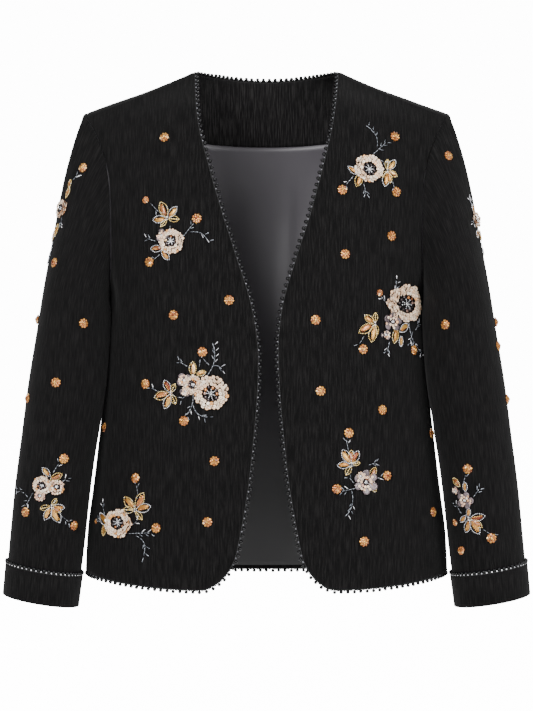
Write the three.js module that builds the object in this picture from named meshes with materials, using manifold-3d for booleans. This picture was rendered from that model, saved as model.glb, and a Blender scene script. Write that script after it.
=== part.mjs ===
// Embroidered collarless jacket, worn form with nobody in it. Millimetres, +Z up, the front faces -Y,
// +X is the wearer's left. The origin lies midway between the two shoulder-neck points,
// where the neck carries it.
import * as THREE from 'three';
import { mergeVertices } from 'three/addons/utils/BufferGeometryUtils.js';
import Module from 'manifold-3d';

const wasm = await Module();
wasm.setup();

const WALL = 2; // thickness of the napped shell cloth with its interlining
const LINING = 1; // thickness of the satin lining
const SEAM_GAP = 0.3; // space left between two pieces at a seam
const LAYER_GAP = 0.3; // space left under a piece that lies on another
const ARMHOLE_GAP = 0.35; // space between a sleeve head and the body's armhole edge
const TRIM_WIDTH = 3.4; // how far the beaded picot edging stands out from an edge
const NECK_SIDE = 78.5; // half the width of the neck opening at the shoulder seams
const FRONT_COLUMNS = 9; // steps across one front, and across one back shoulder
const NECK_RISE = 0.9; // how steeply the shoulder line climbs towards the neck: 1 is straight
const NECK_COLUMNS = 4; // steps across half the back neck
const CAP_RINGS = 6; // rings from the armhole to the upper arm
const ARM_RINGS = 8; // rings from the upper arm to the wrist; the turned-back cuff is the last 39 mm step
const SLEEVE_MESH_RINGS = [0, 1, 2, 3, 4, 5, 6, 8, 10, 12, 13, 14]; // the rings that a sleeve's wall passes
const UNDERARM_ROW = 10; // the row of both body tables where the armhole starts
const FACING_ROW = 16; // the back row where the neck facing meets the lining
const FACING_COLUMNS = 4; // how many shoulder steps the neck facing covers
const FACING = 1; // thickness of the neck facing
const LINING_TOP_SHARE = 0.985; // where the lining stops below the facing, as a share of the row step
const LINING_HEM_SHARE = 0.25; // where the lining starts above the hem, as a share of the row step

// Where each front's cloth edge runs: half-distance from the middle at heights down the opening.
const FRONT_EDGE = [
  { z: 20, right: 78.5, left: 78.5 },
  { z: -5, right: NECK_SIDE, left: NECK_SIDE },
  { z: -60, right: 73.5, left: 71.5 },
  { z: -105, right: 62, left: 61 },
  { z: -160, right: 46.5, left: 46.5 },
  { z: -208, right: 31, left: 31 },
  { z: -251, right: 17.5, left: 18.5 },
  { z: -292, right: 10.3, left: 13.2 },
  { z: -330, right: 9.3, left: 13.7 },
  { z: -385, right: 13, left: 17.8 },
  { z: -447, right: 19.5, left: 24.5 },
  { z: -487, right: 26, left: 31.5 },
  { z: -520, right: 33, left: 38 },
  { z: -560, right: 42, left: 46 },
];
const CORNER_TOP = -516; // where the rounded lower corner starts
const CORNER_WIDTH = 30; // how far the corner sweeps out before it meets the hem
const HEM_FRONT = -555.2; // height of the front hem next to the corner

// One row across a front, hem to shoulder seam: edgeZ where it meets the opening; x, y, z where it meets
// the side seam or armhole; depth is how far forward the middle lies; bow and wrap shape the curve
// between them; rise bends the row up or down; flat spaces its points evenly.
const FRONT_ROWS = [
  { edgeZ: HEM_FRONT, z: -543.3, x: 198.3, y: 0, depth: -112, bow: 2.2, wrap: 2.2, rise: 2, flat: 0 },
  { edgeZ: -550.6, z: -524, x: 198, y: 0, depth: -111.6, bow: 2.2, wrap: 2.2, rise: 1.5, flat: 0 },
  { edgeZ: -541.8, z: -503, x: 196.6, y: 0, depth: -111, bow: 2.2, wrap: 2.2, rise: 1.2, flat: 0 },
  { edgeZ: -529, z: -481, x: 194.2, y: 0, depth: -110.4, bow: 2.2, wrap: 2.2, rise: 1.1, flat: 0 },
  { edgeZ: CORNER_TOP, z: -457, x: 191.2, y: 0, depth: -109.8, bow: 2.2, wrap: 2.2, rise: 1, flat: 0 },
  { edgeZ: -470, z: -425, x: 187, y: 0, depth: -108.6, bow: 2.2, wrap: 2.2, rise: 1, flat: 0 },
  { edgeZ: -420, z: -388, x: 182.8, y: 0, depth: -107.6, bow: 2.2, wrap: 2.2, rise: 1, flat: 0 },
  { edgeZ: -370, z: -350, x: 178.9, y: 0, depth: -107.4, bow: 2.2, wrap: 2.2, rise: 1, flat: 0 },
  { edgeZ: -320, z: -312, x: 175.6, y: 0, depth: -108.4, bow: 2.2, wrap: 2.2, rise: 1, flat: 0 },
  { edgeZ: -273, z: -276, x: 173, y: 0, depth: -110, bow: 2.2, wrap: 2.2, rise: 1, flat: 0 },
  { edgeZ: -232, z: -245, x: 171.4, y: 0, depth: -111, bow: 2.2, wrap: 2.2, rise: 1, flat: 0.05 },
  { edgeZ: -205, z: -226, x: 170.2, y: -29, depth: -110, bow: 2.25, wrap: 1.6, rise: 1, flat: 0.2 },
  { edgeZ: -176, z: -203, x: 168.6, y: -43, depth: -107.5, bow: 2.3, wrap: 1.3, rise: 1, flat: 0.4 },
  { edgeZ: -144, z: -176, x: 168, y: -50.5, depth: -103, bow: 2.4, wrap: 1.12, rise: 1, flat: 0.6 },
  { edgeZ: -112, z: -148, x: 168, y: -53, depth: -95.5, bow: 2.4, wrap: 1, rise: 1, flat: 0.75 },
  { edgeZ: -82, z: -120, x: 169.8, y: -51, depth: -86, bow: 2.4, wrap: 1, rise: 1, flat: 0.87 },
  { edgeZ: -54, z: -94, x: 175, y: -45, depth: -72.5, bow: 2.3, wrap: 1, rise: 1, flat: 0.95 },
  { edgeZ: -29, z: -68, x: 185, y: -34, depth: -52, bow: 2.2, wrap: 1, rise: 1, flat: 1 },
  { edgeZ: 2.5, z: -46.5, x: 197.5, y: -18, depth: -13.2, bow: 1, wrap: 1, rise: NECK_RISE, flat: 1 },
];

// One row across the back, hem to shoulder seam: midZ at the middle; neckY and neckZ are where the row passes
// below the shoulder-neck point and neck tells how much it bends round the neck opening there.
const BACK_ROWS = [
  { midZ: -551.4, z: -543.3, x: 198.3, y: 0, depth: 110, bow: 2.2, wrap: 2.2, rise: 2 },
  { midZ: -531, z: -524, x: 198, y: 0, depth: 109.4, bow: 2.2, wrap: 2.2, rise: 2 },
  { midZ: -509, z: -503, x: 196.6, y: 0, depth: 108.4, bow: 2.2, wrap: 2.2, rise: 2 },
  { midZ: -486, z: -481, x: 194.2, y: 0, depth: 107, bow: 2.2, wrap: 2.2, rise: 2 },
  { midZ: -461, z: -457, x: 191.2, y: 0, depth: 105.4, bow: 2.2, wrap: 2.2, rise: 2 },
  { midZ: -427, z: -425, x: 187, y: 0, depth: 103, bow: 2.2, wrap: 2.2, rise: 2 },
  { midZ: -388, z: -388, x: 182.8, y: 0, depth: 101, bow: 2.2, wrap: 2.2, rise: 2 },
  { midZ: -348, z: -350, x: 178.9, y: 0, depth: 100.4, bow: 2.2, wrap: 2.2, rise: 2 },
  { midZ: -308, z: -312, x: 175.6, y: 0, depth: 102, bow: 2.2, wrap: 2.2, rise: 2 },
  { midZ: -270, z: -276, x: 173, y: 0, depth: 105, bow: 2.2, wrap: 2.2, rise: 2 },
  { midZ: -238, z: -245, x: 171.4, y: 0, depth: 108, bow: 2.2, wrap: 2.2, rise: 2, flat: 0.05 },
  { midZ: -211, z: -226, x: 170.2, y: 30, depth: 110, bow: 2.25, wrap: 1.6, rise: 2, flat: 0.2 },
  { midZ: -184, z: -203, x: 169, y: 45, depth: 111.4, bow: 2.3, wrap: 1.3, rise: 2, flat: 0.4 },
  { midZ: -155, z: -176, x: 168.6, y: 54, depth: 111.4, bow: 2.4, wrap: 1.1, rise: 2, flat: 0.6 },
  {
    midZ: -126, z: -148, x: 168.6, y: 58, depth: 109, bow: 2.4,
    rise: 2, flat: 0.75, neck: 0.1, neckY: 104, neckZ: -122,
  },
  {
    midZ: -97, z: -120, x: 170.5, y: 57, depth: 104, bow: 2.4,
    rise: 2, flat: 0.85, neck: 0.3, neckY: 94, neckZ: -90,
  },
  {
    midZ: -70, z: -94, x: 176, y: 51, depth: 97, bow: 2.4,
    rise: 2, flat: 0.95, neck: 0.55, neckY: 77, neckZ: -58,
  },
  {
    midZ: -45, z: -68, x: 185, y: 40, depth: 88, bow: 2.4,
    rise: 2, flat: 1, neck: 0.8, neckY: 52, neckZ: -25,
  },
  {
    midZ: -25.5, z: -50, x: 193, y: 22, depth: 79, bow: 2.4,
    rise: 2, flat: 1, neck: 0.95, neckY: 25, neckZ: -4,
  },
  {
    midZ: -11, z: -41.5, x: 197.5, y: 2, depth: 70, bow: 2.4,
    rise: 2, flat: 1, neck: 1, neckY: 2, neckZ: 4.1,
  },
  {
    midZ: 0, z: -46.5, x: 197.5, y: -18, depth: 62, bow: 2.4,
    rise: 2, flat: 1, neck: 1, neckY: -15.1, neckZ: 2.5,
  },
].map((row) => ({ wrap: 1, flat: 0, neck: 0, neckY: row.depth, neckZ: row.midZ, ...row }));

// Rings down a sleeve from the upper arm to the wrist: x, y, z of the middle, half sizes, tilt in degrees.
const SLEEVE_RINGS = [
  { z: -264, x: 209.4, y: -22, half: 37.5, deep: 58, tilt: 8 },
  { z: -340, x: 217.2, y: -30, half: 41, deep: 56, tilt: 8 },
  { z: -418, x: 227.8, y: -33, half: 40.8, deep: 52, tilt: 8.6 },
  { z: -496, x: 236.8, y: -33, half: 40.8, deep: 48.5, tilt: 9.4 },
  { z: -573.5, x: 244.9, y: -33, half: 39.6, deep: 46, tilt: 10 },
];
// Soft troughs pressed into a sleeve: where round the tube and how far down they start and end.
const SLEEVE_CREASES = [
  { side: -1, round: 0.2, from: 2, to: 8, lean: -0.1, width: 0.06, depth: 2.6 },
  { side: 1, round: 0.27, from: 2, to: 7, lean: -0.08, width: 0.06, depth: 1.8 },
  { side: -1, round: 0.74, from: 5, to: 11, lean: 0.05, width: 0.07, depth: 2.4 },
  { side: 1, round: 0.72, from: 5, to: 11, lean: 0.06, width: 0.07, depth: 2.4 },
];

// Lone bead rosettes, by the place of each on its front or sleeve.
const ROSETTE_RADIUS = 5.6;
const FRONT_ROSETTES = [
  { side: -1, across: 0.345, row: 15.77 },
  { side: -1, across: 0.58, row: 13.77, radius: 4 },
  { side: -1, across: 0.165, row: 12.61 },
  { side: -1, across: 0.506, row: 11.44 },
  { side: -1, across: 0.086, row: 9.57 },
  { side: -1, across: 0.351, row: 9.25 },
  { side: -1, across: 0.227, row: 8.29 },
  { side: -1, across: 0.498, row: 7.42 },
  { side: -1, across: 0.288, row: 6.64 },
  { side: -1, across: 0.822, row: 6.09 },
  { side: -1, across: 0.142, row: 5.86 },
  { side: -1, across: 0.498, row: 4.98 },
  { side: -1, across: 0.133, row: 4.5 },
  { side: -1, across: 0.342, row: 3.77 },
  { side: 1, across: 0.616, row: 16.25 },
  { side: 1, across: 0.68, row: 14.18 },
  { side: 1, across: 0.179, row: 13.59 },
  { side: 1, across: 0.602, row: 12.53 },
  { side: 1, across: 0.249, row: 11.45 },
  { side: 1, across: 0.455, row: 9.97, radius: 4 },
  { side: 1, across: 0.145, row: 9.08 },
  { side: 1, across: 0.369, row: 8.34 },
  { side: 1, across: 0.709, row: 8.28 },
  { side: 1, across: 0.164, row: 7.41 },
  { side: 1, across: 0.446, row: 6.79 },
  { side: 1, across: 0.269, row: 6.37 },
  { side: 1, across: 0.86, row: 5.89 },
  { side: 1, across: 0.185, row: 5.17 },
  { side: 1, across: 0.429, row: 5.14 },
  { side: 1, across: 0.72, row: 3.4 },
  { side: 1, across: 0.26, row: 3.36 },
];
const SLEEVE_ROSETTES = [
  { side: -1, round: 0.079, ring: 1.54 },
  { side: -1, round: 0.1, ring: 4.43 },
  { side: -1, round: 0.314, ring: 6.31 },
  { side: -1, round: 0.02, ring: 6.4 },
  { side: -1, round: 0.222, ring: 7.94 },
  { side: -1, round: 0.075, ring: 8.5 },
  { side: -1, round: 0.297, ring: 9.95 },
  { side: -1, round: 0.155, ring: 11.56 },
  { side: -1, round: 0.379, ring: 11.73 },
  { side: 1, round: 0.065, ring: 1.22 },
  { side: 1, round: 0.334, ring: 6.34 },
  { side: 1, round: 0.02, ring: 6.48 },
  { side: 1, round: 0.069, ring: 7.13 },
  { side: 1, round: 0.05, ring: 8.54 },
  { side: 1, round: 0.308, ring: 10.22 },
  { side: 1, round: 0.401, ring: 11.64, radius: 4 },
  { side: 1, round: 0.242, ring: 12.17 },
  { side: 1, round: 0.384, ring: 12.39, radius: 4.5 },
];

// Sprays of embroidery: u and v place the middle on a front (across, row) or a sleeve (round, ring); each
// motif is given in mm from there, a to the right as seen from the front and b up, with its size and turn.
// A cluster's leaves are pairs of turn and length. Wide is how much wider the cloth is there than it looks.
const blossom = (a, b, size, petals, turn) => ({ kind: 'blossom', a, b, size, petals, turn });
const leaf = (a, b, size, turn) => ({ kind: 'leaf', a, b, size, turn });
const cluster = (a, b, leaves) => ({ kind: 'cluster', a, b, leaves });
const SPRAYS = [
  {
    name: 'spray_right_chest', piece: 'front', side: -1, u: 0.356, v: 12.25, wide: 1.07,
    motifs: [
      blossom(1, -6, 14, 5, 60), blossom(-9.5, 1, 7, 3, 100),
      cluster(-4.5, 19, [[185, 16], [115, 20], [52, 16]]),
      leaf(-15, -13, 14, 180), leaf(-5.5, -20, 13.5, 310),
    ],
  },
  {
    name: 'spray_right_waist', piece: 'front', side: -1, u: 0.23, v: 7.45, wide: 1.02,
    motifs: [
      blossom(11.7, -5.2, 19, 8, 0), blossom(-8, 3, 11, 4, 20), blossom(-17, 8, 8, 4, 120),
      blossom(-15.5, -3.5, 6.5, 3, 200),
      cluster(-32, -6, [[117, 16], [194, 19], [248, 18]]),
      leaf(-8, 20, 15.5, 90), leaf(1, 15.5, 11, 15),
    ],
  },
  {
    name: 'spray_right_hem', piece: 'front', side: -1, u: 0.548, v: 3.55, wide: 1.22,
    motifs: [
      blossom(-2.8, -6, 16, 5, 36),
      cluster(15, 9, [[133, 18.5], [67, 21], [17, 16.8]]),
      leaf(-21, -2, 17, 312), leaf(-19.5, -14, 12.5, 265),
    ],
  },
  {
    name: 'spray_left_chest', piece: 'front', side: 1, u: 0.416, v: 14.63, wide: 1.08,
    motifs: [
      blossom(-2.6, 1.4, 16, 5, 20),
      cluster(17, -0.5, [[50, 15.8], [330, 12], [281, 14], [259, 18]]),
      leaf(-19.4, -1, 13, 321), leaf(-13.6, -10.8, 17, 247),
    ],
  },
  {
    name: 'spray_left_middle', piece: 'front', side: 1, u: 0.62, v: 9.47, wide: 1.35,
    motifs: [
      blossom(5.4, 7.2, 21, 9, 0), blossom(-11.9, -13, 10.5, 5, 10), blossom(-18.5, -27, 5.5, 3, 60),
      cluster(-28, -15, [[133, 12.5], [217, 16], [262, 20]]),
      leaf(1, -19.5, 14, 34), leaf(-8.6, -27.5, 17, 262), leaf(-2.5, -33.5, 12, 268),
    ],
  },
  {
    name: 'spray_left_waist', piece: 'front', side: 1, u: 0.307, v: 5.37, wide: 1.05,
    motifs: [
      blossom(3.5, -9.5, 13.5, 6, 30), blossom(-2, -3, 5, 3, 90),
      cluster(-11.3, 9, [[120, 19], [90, 16], [63, 17], [182, 15]]),
      leaf(11.2, 0, 14, 61), leaf(11.2, -13.4, 14.5, 290),
    ],
  },
  {
    name: 'spray_right_sleeve_top', piece: 'sleeve', side: -1, u: 0.048, v: 3.1, wide: 1.25,
    motifs: [
      blossom(-1.5, 0, 10.5, 5, 0), leaf(2.8, 28, 10, 95), leaf(3, 18, 12, 78), leaf(-3, -24, 14, 82),
      leaf(-9, -29, 14, 75),
    ],
  },
  {
    name: 'spray_right_sleeve_foot', piece: 'sleeve', side: -1, u: 0.257, v: 10.83, wide: 1,
    motifs: [
      blossom(-8.3, 4.8, 10.5, 5, 40), blossom(5.9, 2.6, 8.5, 5, 0), blossom(-10.6, -7, 6, 3, 250),
      leaf(-4, 18.6, 12.5, 129), leaf(5.9, 13.6, 14, 26),
      cluster(1, -17.8, [[350, 14], [327, 12], [295, 20], [244, 16.5]]),
    ],
  },
  {
    name: 'spray_left_sleeve_top', piece: 'sleeve', side: 1, u: 0.025, v: 3.55, wide: 1.25,
    motifs: [
      blossom(0, 2, 9.5, 5, 0), leaf(-2, 13.5, 11, 95), leaf(4.5, -15, 13, 85), leaf(-5.5, -14, 10, 240),
    ],
  },
  {
    name: 'spray_left_sleeve_foot', piece: 'sleeve', side: 1, u: 0.324, v: 11.24, wide: 1.15,
    motifs: [
      blossom(-2.9, 6.7, 9.5, 5, 0), blossom(-12, 17, 5, 3, 90), leaf(-11.5, 25.5, 12, 130),
      leaf(-2.3, 21.2, 11, 90), leaf(0, -6.5, 10, 80), leaf(-6, -13.4, 10, 230),
      cluster(0.5, -12.9, [[12, 15], [322, 15], [300, 19], [255, 16]]),
    ],
  },
];
const SPRAY_LIFT = 0.4; // how far a spray's underside lies off the cloth's smooth surface
const SPRAY_STIFFNESS = 0.032; // how much further a wide motif lies off, for each mm of its size
const CLUSTER_CORE = 2; // how far the notches between a cluster's leaves lie from its base
const STEM_HALF = 0.8; // half the width of a stem
const STEM_TOP = 1.4; // how far a stem's top lies off the cloth
const STEM_STEP = 10; // the longest straight step of a stem

const CLOTH = { color: 0x1b1a1b, roughness: 0.95, metalness: 0 };
const SATIN = { color: 0x46444a, roughness: 0.5, metalness: 0 };
const JET = { color: 0x0b0b0d, roughness: 0.2, metalness: 0 };
const BEADWORK = { color: 0xc79a5a, roughness: 0.35, metalness: 0.3 };

const vec = (x, y, z) => new THREE.Vector3(x, y, z);
const mix = (a, b, t) => a + (b - a) * t;
const clamp = (value, low, high) => Math.min(Math.max(value, low), high);
const smooth = (low, high, value) => THREE.MathUtils.smoothstep(value, low, high);

// A value on a smooth curve through four neighbouring values.
function curveThrough(before, start, end, after, t) {
  const slopeIn = (end - before) / 2;
  const slopeOut = (after - start) / 2;
  const bend = 3 * (end - start) - 2 * slopeIn - slopeOut;
  const twist = slopeIn + slopeOut - 2 * (end - start);
  return start + slopeIn * t + bend * t * t + twist * t * t * t;
}

// The row of a table at a fractional position, each named column on a smooth curve.
function rowAt(table, position) {
  const last = table.length - 1;
  const below = clamp(Math.floor(position), 0, last - 1);
  const t = position - below;
  const rows = [-1, 0, 1, 2].map((step) => table[clamp(below + step, 0, last)]);
  const row = {};
  for (const key of Object.keys(table[below])) {
    row[key] = curveThrough(rows[0][key], rows[1][key], rows[2][key], rows[3][key], t);
  }
  return row;
}

// Half-distance of a front's cloth edge from the middle at one height, with the rounded lower corner.
function frontEdge(side, z) {
  const key = side < 0 ? 'right' : 'left';
  let index = FRONT_EDGE.findIndex((row) => row.z <= z) - 1;
  index = clamp(index, 0, FRONT_EDGE.length - 2);
  const rows = [-1, 0, 1, 2].map((step) => FRONT_EDGE[clamp(index + step, 0, FRONT_EDGE.length - 1)]);
  const t = (z - rows[1].z) / (rows[2].z - rows[1].z);
  const straight = curveThrough(rows[0][key], rows[1][key], rows[2][key], rows[3][key], t);
  const dip = clamp((CORNER_TOP - z) / (CORNER_TOP - HEM_FRONT), 0, 1);
  return straight + CORNER_WIDTH * (1 - Math.sqrt(1 - dip * dip));
}

// How far a row has come from its middle depth to its outer end, at the share s of its half-width.
const rounding = (s, row) => 1 - Math.pow(Math.max(1 - Math.pow(s, row.bow), 0), 1 / row.wrap);

// A point of a front: across 0 at the opening and 1 at the side, position counts rows from the hem.
function frontPoint(side, across, position) {
  const row = rowAt(FRONT_ROWS, position);
  const start = frontEdge(side, row.edgeZ) / row.x;
  const startAngle = Math.asin(start);
  const turned = Math.sin(mix(startAngle, Math.PI / 2, across));
  const s = Math.min(mix(turned, mix(start, 1, across), clamp(row.flat, 0, 1)), 1);
  const y = mix(row.depth, row.y, rounding(s, row));
  const z = mix(row.edgeZ, row.z, Math.pow(clamp((s - start) / (1 - start), 0, 1), row.rise));
  return vec(side * row.x * s, y, z);
}

// A point of the back: across runs from -1 to 1, and its neck corners lie at plus and minus NECK_SHARE.
const NECK_SHARE = NECK_COLUMNS / (NECK_COLUMNS + FRONT_COLUMNS);
function backPoint(across, position) {
  const row = rowAt(BACK_ROWS, position);
  const side = Math.sign(across);
  const share = Math.abs(across);
  const neckS = NECK_SIDE / row.x;
  const even = share < NECK_SHARE
    ? (neckS * share) / NECK_SHARE
    : mix(neckS, 1, (share - NECK_SHARE) / (1 - NECK_SHARE));
  const s = Math.min(mix(Math.sin((share * Math.PI) / 2), even, clamp(row.flat, 0, 1)), 1);
  const plainY = mix(row.depth, row.y, rounding(s, row));
  const plainZ = mix(row.midZ, row.z, Math.pow(s, row.rise));
  const inNeck = Math.min(s / neckS, 1);
  const past = Math.max((s - neckS) / (1 - neckS), 0);
  const neckDrop = inNeck * inNeck;
  const neckY = s < neckS ? mix(row.depth, row.neckY, neckDrop) : mix(row.neckY, row.y, past);
  const neckZ = s < neckS
    ? mix(row.midZ, row.neckZ, neckDrop)
    : mix(row.neckZ, row.z, Math.pow(past, NECK_RISE));
  const neck = clamp(row.neck, 0, 1);
  return vec(side * row.x * s, mix(plainY, neckY, neck), mix(plainZ, neckZ, neck));
}

// The armhole at a place round it: 0 at the shoulder tip, 0.25 in front, 0.5 under the arm, 0.75 behind.
function armholePoint(side, round) {
  const frontSpan = FRONT_ROWS.length - 1 - UNDERARM_ROW;
  const backSpan = BACK_ROWS.length - 1 - UNDERARM_ROW;
  return round <= 0.5
    ? frontPoint(side, 1, UNDERARM_ROW + frontSpan * (1 - 2 * round))
    : backPoint(side, UNDERARM_ROW + backSpan * (2 * round - 1));
}

// A point of a sleeve ring below the cap, ring counted from the upper arm.
function armPoint(side, round, ring) {
  const row = rowAt(SLEEVE_RINGS, (ring / ARM_RINGS) * (SLEEVE_RINGS.length - 1));
  const angle = 2 * Math.PI * round;
  const tilt = THREE.MathUtils.degToRad(row.tilt);
  const outward = row.half * Math.cos(angle);
  return vec(
    side * (row.x + outward * Math.cos(tilt)),
    row.y - row.deep * Math.sin(angle),
    row.z + outward * Math.sin(tilt),
  );
}

// How deep the sleeve's soft troughs are at one place.
function creaseDepth(side, round, ring) {
  let depth = 0;
  for (const crease of SLEEVE_CREASES.filter((entry) => entry.side === side)) {
    const along = (ring - crease.from) / (crease.to - crease.from);
    if (along <= 0 || along >= 1) continue;
    const off = (round - crease.round - crease.lean * (along - 0.5)) / crease.width;
    depth += crease.depth * Math.sin(Math.PI * along) * Math.exp(-off * off);
  }
  return depth;
}

// A point of a sleeve, ring 0 at the armhole and CAP_RINGS at the upper arm.
function sleevePoint(side, round, ring) {
  const angle = 2 * Math.PI * round;
  const inward = vec(-side * Math.cos(angle), Math.sin(angle), 0);
  inward.multiplyScalar(creaseDepth(side, round, ring));
  if (ring >= CAP_RINGS) return armPoint(side, round, ring - CAP_RINGS).add(inward);
  const start = armholePoint(side, round).add(vec(side * ARMHOLE_GAP, 0, 0));
  const end = armPoint(side, round, 0);
  const reach = start.distanceTo(end);
  const top = (1 + Math.cos(angle)) / 2;
  const swell = Math.sin(angle) * Math.sin(angle);
  const leave = vec(
    side * (0.03 + 0.59 * top + 0.35 * swell),
    -0.42 * Math.sin(angle),
    -(1 - 0.22 * top),
  ).normalize().multiplyScalar(reach * mix(0.8, 0.41, top));
  const arrive = armPoint(side, round, 0.5).sub(end).normalize().multiplyScalar(reach * 0.95);
  const t = ring / CAP_RINGS;
  const point = start.clone().multiplyScalar(2 * t ** 3 - 3 * t ** 2 + 1);
  point.addScaledVector(leave, t ** 3 - 2 * t ** 2 + t);
  point.addScaledVector(end, 3 * t ** 2 - 2 * t ** 3);
  point.addScaledVector(arrive, t ** 3 - t ** 2);
  return point.add(inward);
}

// A piece's surface as a function of two numbers, with its outward normal.
function pieceSurface(piece, side) {
  const at = piece === 'front'
    ? (u, v) => frontPoint(side, u, v)
    : (u, v) => sleevePoint(side, u - Math.floor(u), v);
  const normal = (u, v) => {
    const across = at(u + 0.004, v).sub(at(u - 0.004, v));
    const up = at(u, v + 0.04).sub(at(u, v - 0.04));
    return across.cross(up).multiplyScalar(side).normalize();
  };
  return { at, normal };
}

// Lays flat millimetres onto a piece round one spot: a to the right as seen from outside, b up,
// h off the cloth.
function layOn({ at, normal }, u0, v0) {
  const origin = at(u0, v0);
  const out = normal(u0, v0);
  const up = vec(0, 0, 1).addScaledVector(out, -out.z).normalize();
  const right = up.clone().cross(out);
  const flat = (u, v) => {
    const from = at(u, v).sub(origin);
    return [from.dot(right), from.dot(up)];
  };
  return (a, b, h) => {
    let [u, v] = [u0, v0];
    for (let pass = 0; pass < 6; pass += 1) {
      const here = flat(u, v);
      const [du, dv] = [0.002, 0.02];
      const byU = flat(u + du, v).map((value, i) => (value - here[i]) / du);
      const byV = flat(u, v + dv).map((value, i) => (value - here[i]) / dv);
      const [offA, offB] = [a - here[0], b - here[1]];
      const scale = byU[0] * byV[1] - byU[1] * byV[0];
      u += (offA * byV[1] - offB * byV[0]) / scale;
      v += (offB * byU[0] - offA * byU[1]) / scale;
    }
    return at(u, v).addScaledVector(normal(u, v), h);
  };
}

// A low solid over a flat outline: rings of points, each with a scale of the outline and a height
// off the cloth.
function reliefSolid(lay, centre, outline, rings) {
  const points = rings.flatMap(({ scale, h }) => outline.map(
    ([a, b]) => lay(centre[0] + a * scale, centre[1] + b * scale, h),
  ));
  const count = outline.length;
  const base = points.push(lay(centre[0], centre[1], rings[0].h)) - 1;
  const crown = points.push(lay(centre[0], centre[1], rings.at(-1).crown)) - 1;
  const index = [];
  for (let i = 0; i < count; i += 1) {
    const next = (i + 1) % count;
    index.push(base, next, i);
    for (let ring = 0; ring < rings.length - 1; ring += 1) {
      const [low, high] = [ring * count, (ring + 1) * count];
      index.push(low + i, low + next, high + next, low + i, high + next, high + i);
    }
    const top = (rings.length - 1) * count;
    index.push(crown, top + i, top + next);
  }
  return toManifold(outwardGeometry(points.flatMap((p) => [p.x, p.y, p.z]), index));
}

function toManifold(geometry) {
  const merged = mergeVertices(geometry, 1e-4);
  const vertProperties = new Float32Array(merged.attributes.position.array);
  const triVerts = new Uint32Array(merged.index.array);
  return new wasm.Manifold(new wasm.Mesh({ numProp: 3, vertProperties, triVerts }));
}

function fromManifold(solid) {
  const mesh = solid.getMesh();
  const geometry = new THREE.BufferGeometry();
  geometry.setAttribute('position', new THREE.Float32BufferAttribute(mesh.vertProperties, 3));
  geometry.setIndex([...mesh.triVerts]);
  return geometry;
}

const polar = (radius, degrees) => {
  const angle = THREE.MathUtils.degToRad(degrees);
  return [radius * Math.cos(angle), radius * Math.sin(angle)];
};

// Petals round a raised middle.
function blossomSolids(lay, { a, b, size, petals, turn }, wide) {
  const step = 360 / petals;
  const outline = Array.from({ length: petals }, (_, i) => turn + i * step).flatMap((start) => [
    polar(size * 0.74, start), polar(size, start + step / 3), polar(size, start + step * 2 / 3),
  ]);
  const lift = SPRAY_LIFT + size * SPRAY_STIFFNESS;
  const rings = [
    { scale: 1, h: lift },
    { scale: 0.72, h: lift + 1.8, crown: lift + 1.4 },
  ];
  return [reliefSolid(lay, [a * wide, b], outline, rings)];
}

// One pointed leaf about its middle; its size and turn are as seen from the front.
function leafSolids(lay, { a, b, size, turn }, wide) {
  const [half, rise] = polar(size / 2, turn);
  const along = [half * wide, rise];
  const outline = [[1, 0], [0.4, 0.4], [-0.4, 0.48], [-1, 0], [-0.4, -0.48], [0.4, -0.4]].map(([x, y]) => [
    along[0] * x - along[1] * y, along[1] * x + along[0] * y,
  ]);
  const rings = [{ scale: 1, h: SPRAY_LIFT, crown: SPRAY_LIFT + 1.6 }];
  return [reliefSolid(lay, [a * wide, b], outline, rings)];
}

// Leaves that fan out from one base, as one star.
function clusterSolids(lay, { a, b, leaves }, wide) {
  const fan = [...leaves].sort(([turn], [other]) => (turn % 360) - (other % 360));
  const outline = fan.flatMap(([turn, length], i) => {
    const next = fan[(i + 1) % fan.length][0];
    const gap = ((next - turn + 719.9) % 360) + 0.1;
    return [
      polar(length * 0.56, turn - 15), polar(length * 0.94, turn), polar(length * 0.56, turn + 15),
      polar(CLUSTER_CORE, turn + gap / 2),
    ];
  }).map(([x, y]) => [x * wide, y]);
  const lift = SPRAY_LIFT + Math.max(...leaves.map(([, length]) => length)) * SPRAY_STIFFNESS;
  const rings = [{ scale: 1, h: lift, crown: lift + 1.7 }];
  return [reliefSolid(lay, [a * wide, b], outline, rings)];
}

// How far a motif surely reaches from its middle.
const REACH = { blossom: 0.8, leaf: 0.2 };
const reachOf = ({ kind, size }) => (kind === 'cluster' ? CLUSTER_CORE : size * REACH[kind]);

// Low stems to each motif of a spray from the nearest one before it, unless the two touch.
function stemSolids(lay, motifs, wide) {
  const places = motifs.map((motif) => [motif.a * wide, motif.b, reachOf(motif)]);
  const gap = ([x, y, reach], [p, q, other]) => Math.hypot(x - p, y - q) - reach - other;
  return places.slice(1).flatMap((to, i) => {
    const nearer = (best, place) => (gap(place, to) < gap(best, to) ? place : best);
    const from = places.slice(0, i + 1).reduce(nearer);
    if (gap(from, to) < 0) return [];
    const length = Math.hypot(from[0] - to[0], from[1] - to[1]);
    const [first, last] = [from[2] * 0.8 / length, 1 - to[2] * 0.8 / length];
    const [x, y] = [(to[1] - from[1]) / length * STEM_HALF, (from[0] - to[0]) / length * STEM_HALF];
    const sections = range(Math.ceil(length * (last - first) / STEM_STEP)).map((k, _, { length: count }) => {
      const t = mix(first, last, k / (count - 1));
      const [a, b] = [mix(from[0], to[0], t), mix(from[1], to[1], t)];
      const corner = (sign, h) => lay(a + sign * x, b + sign * y, h);
      return [corner(1, SPRAY_LIFT), corner(1, STEM_TOP), corner(-1, STEM_TOP), corner(-1, SPRAY_LIFT)];
    });
    return toManifold(stripGeometry(sections));
  });
}

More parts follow.
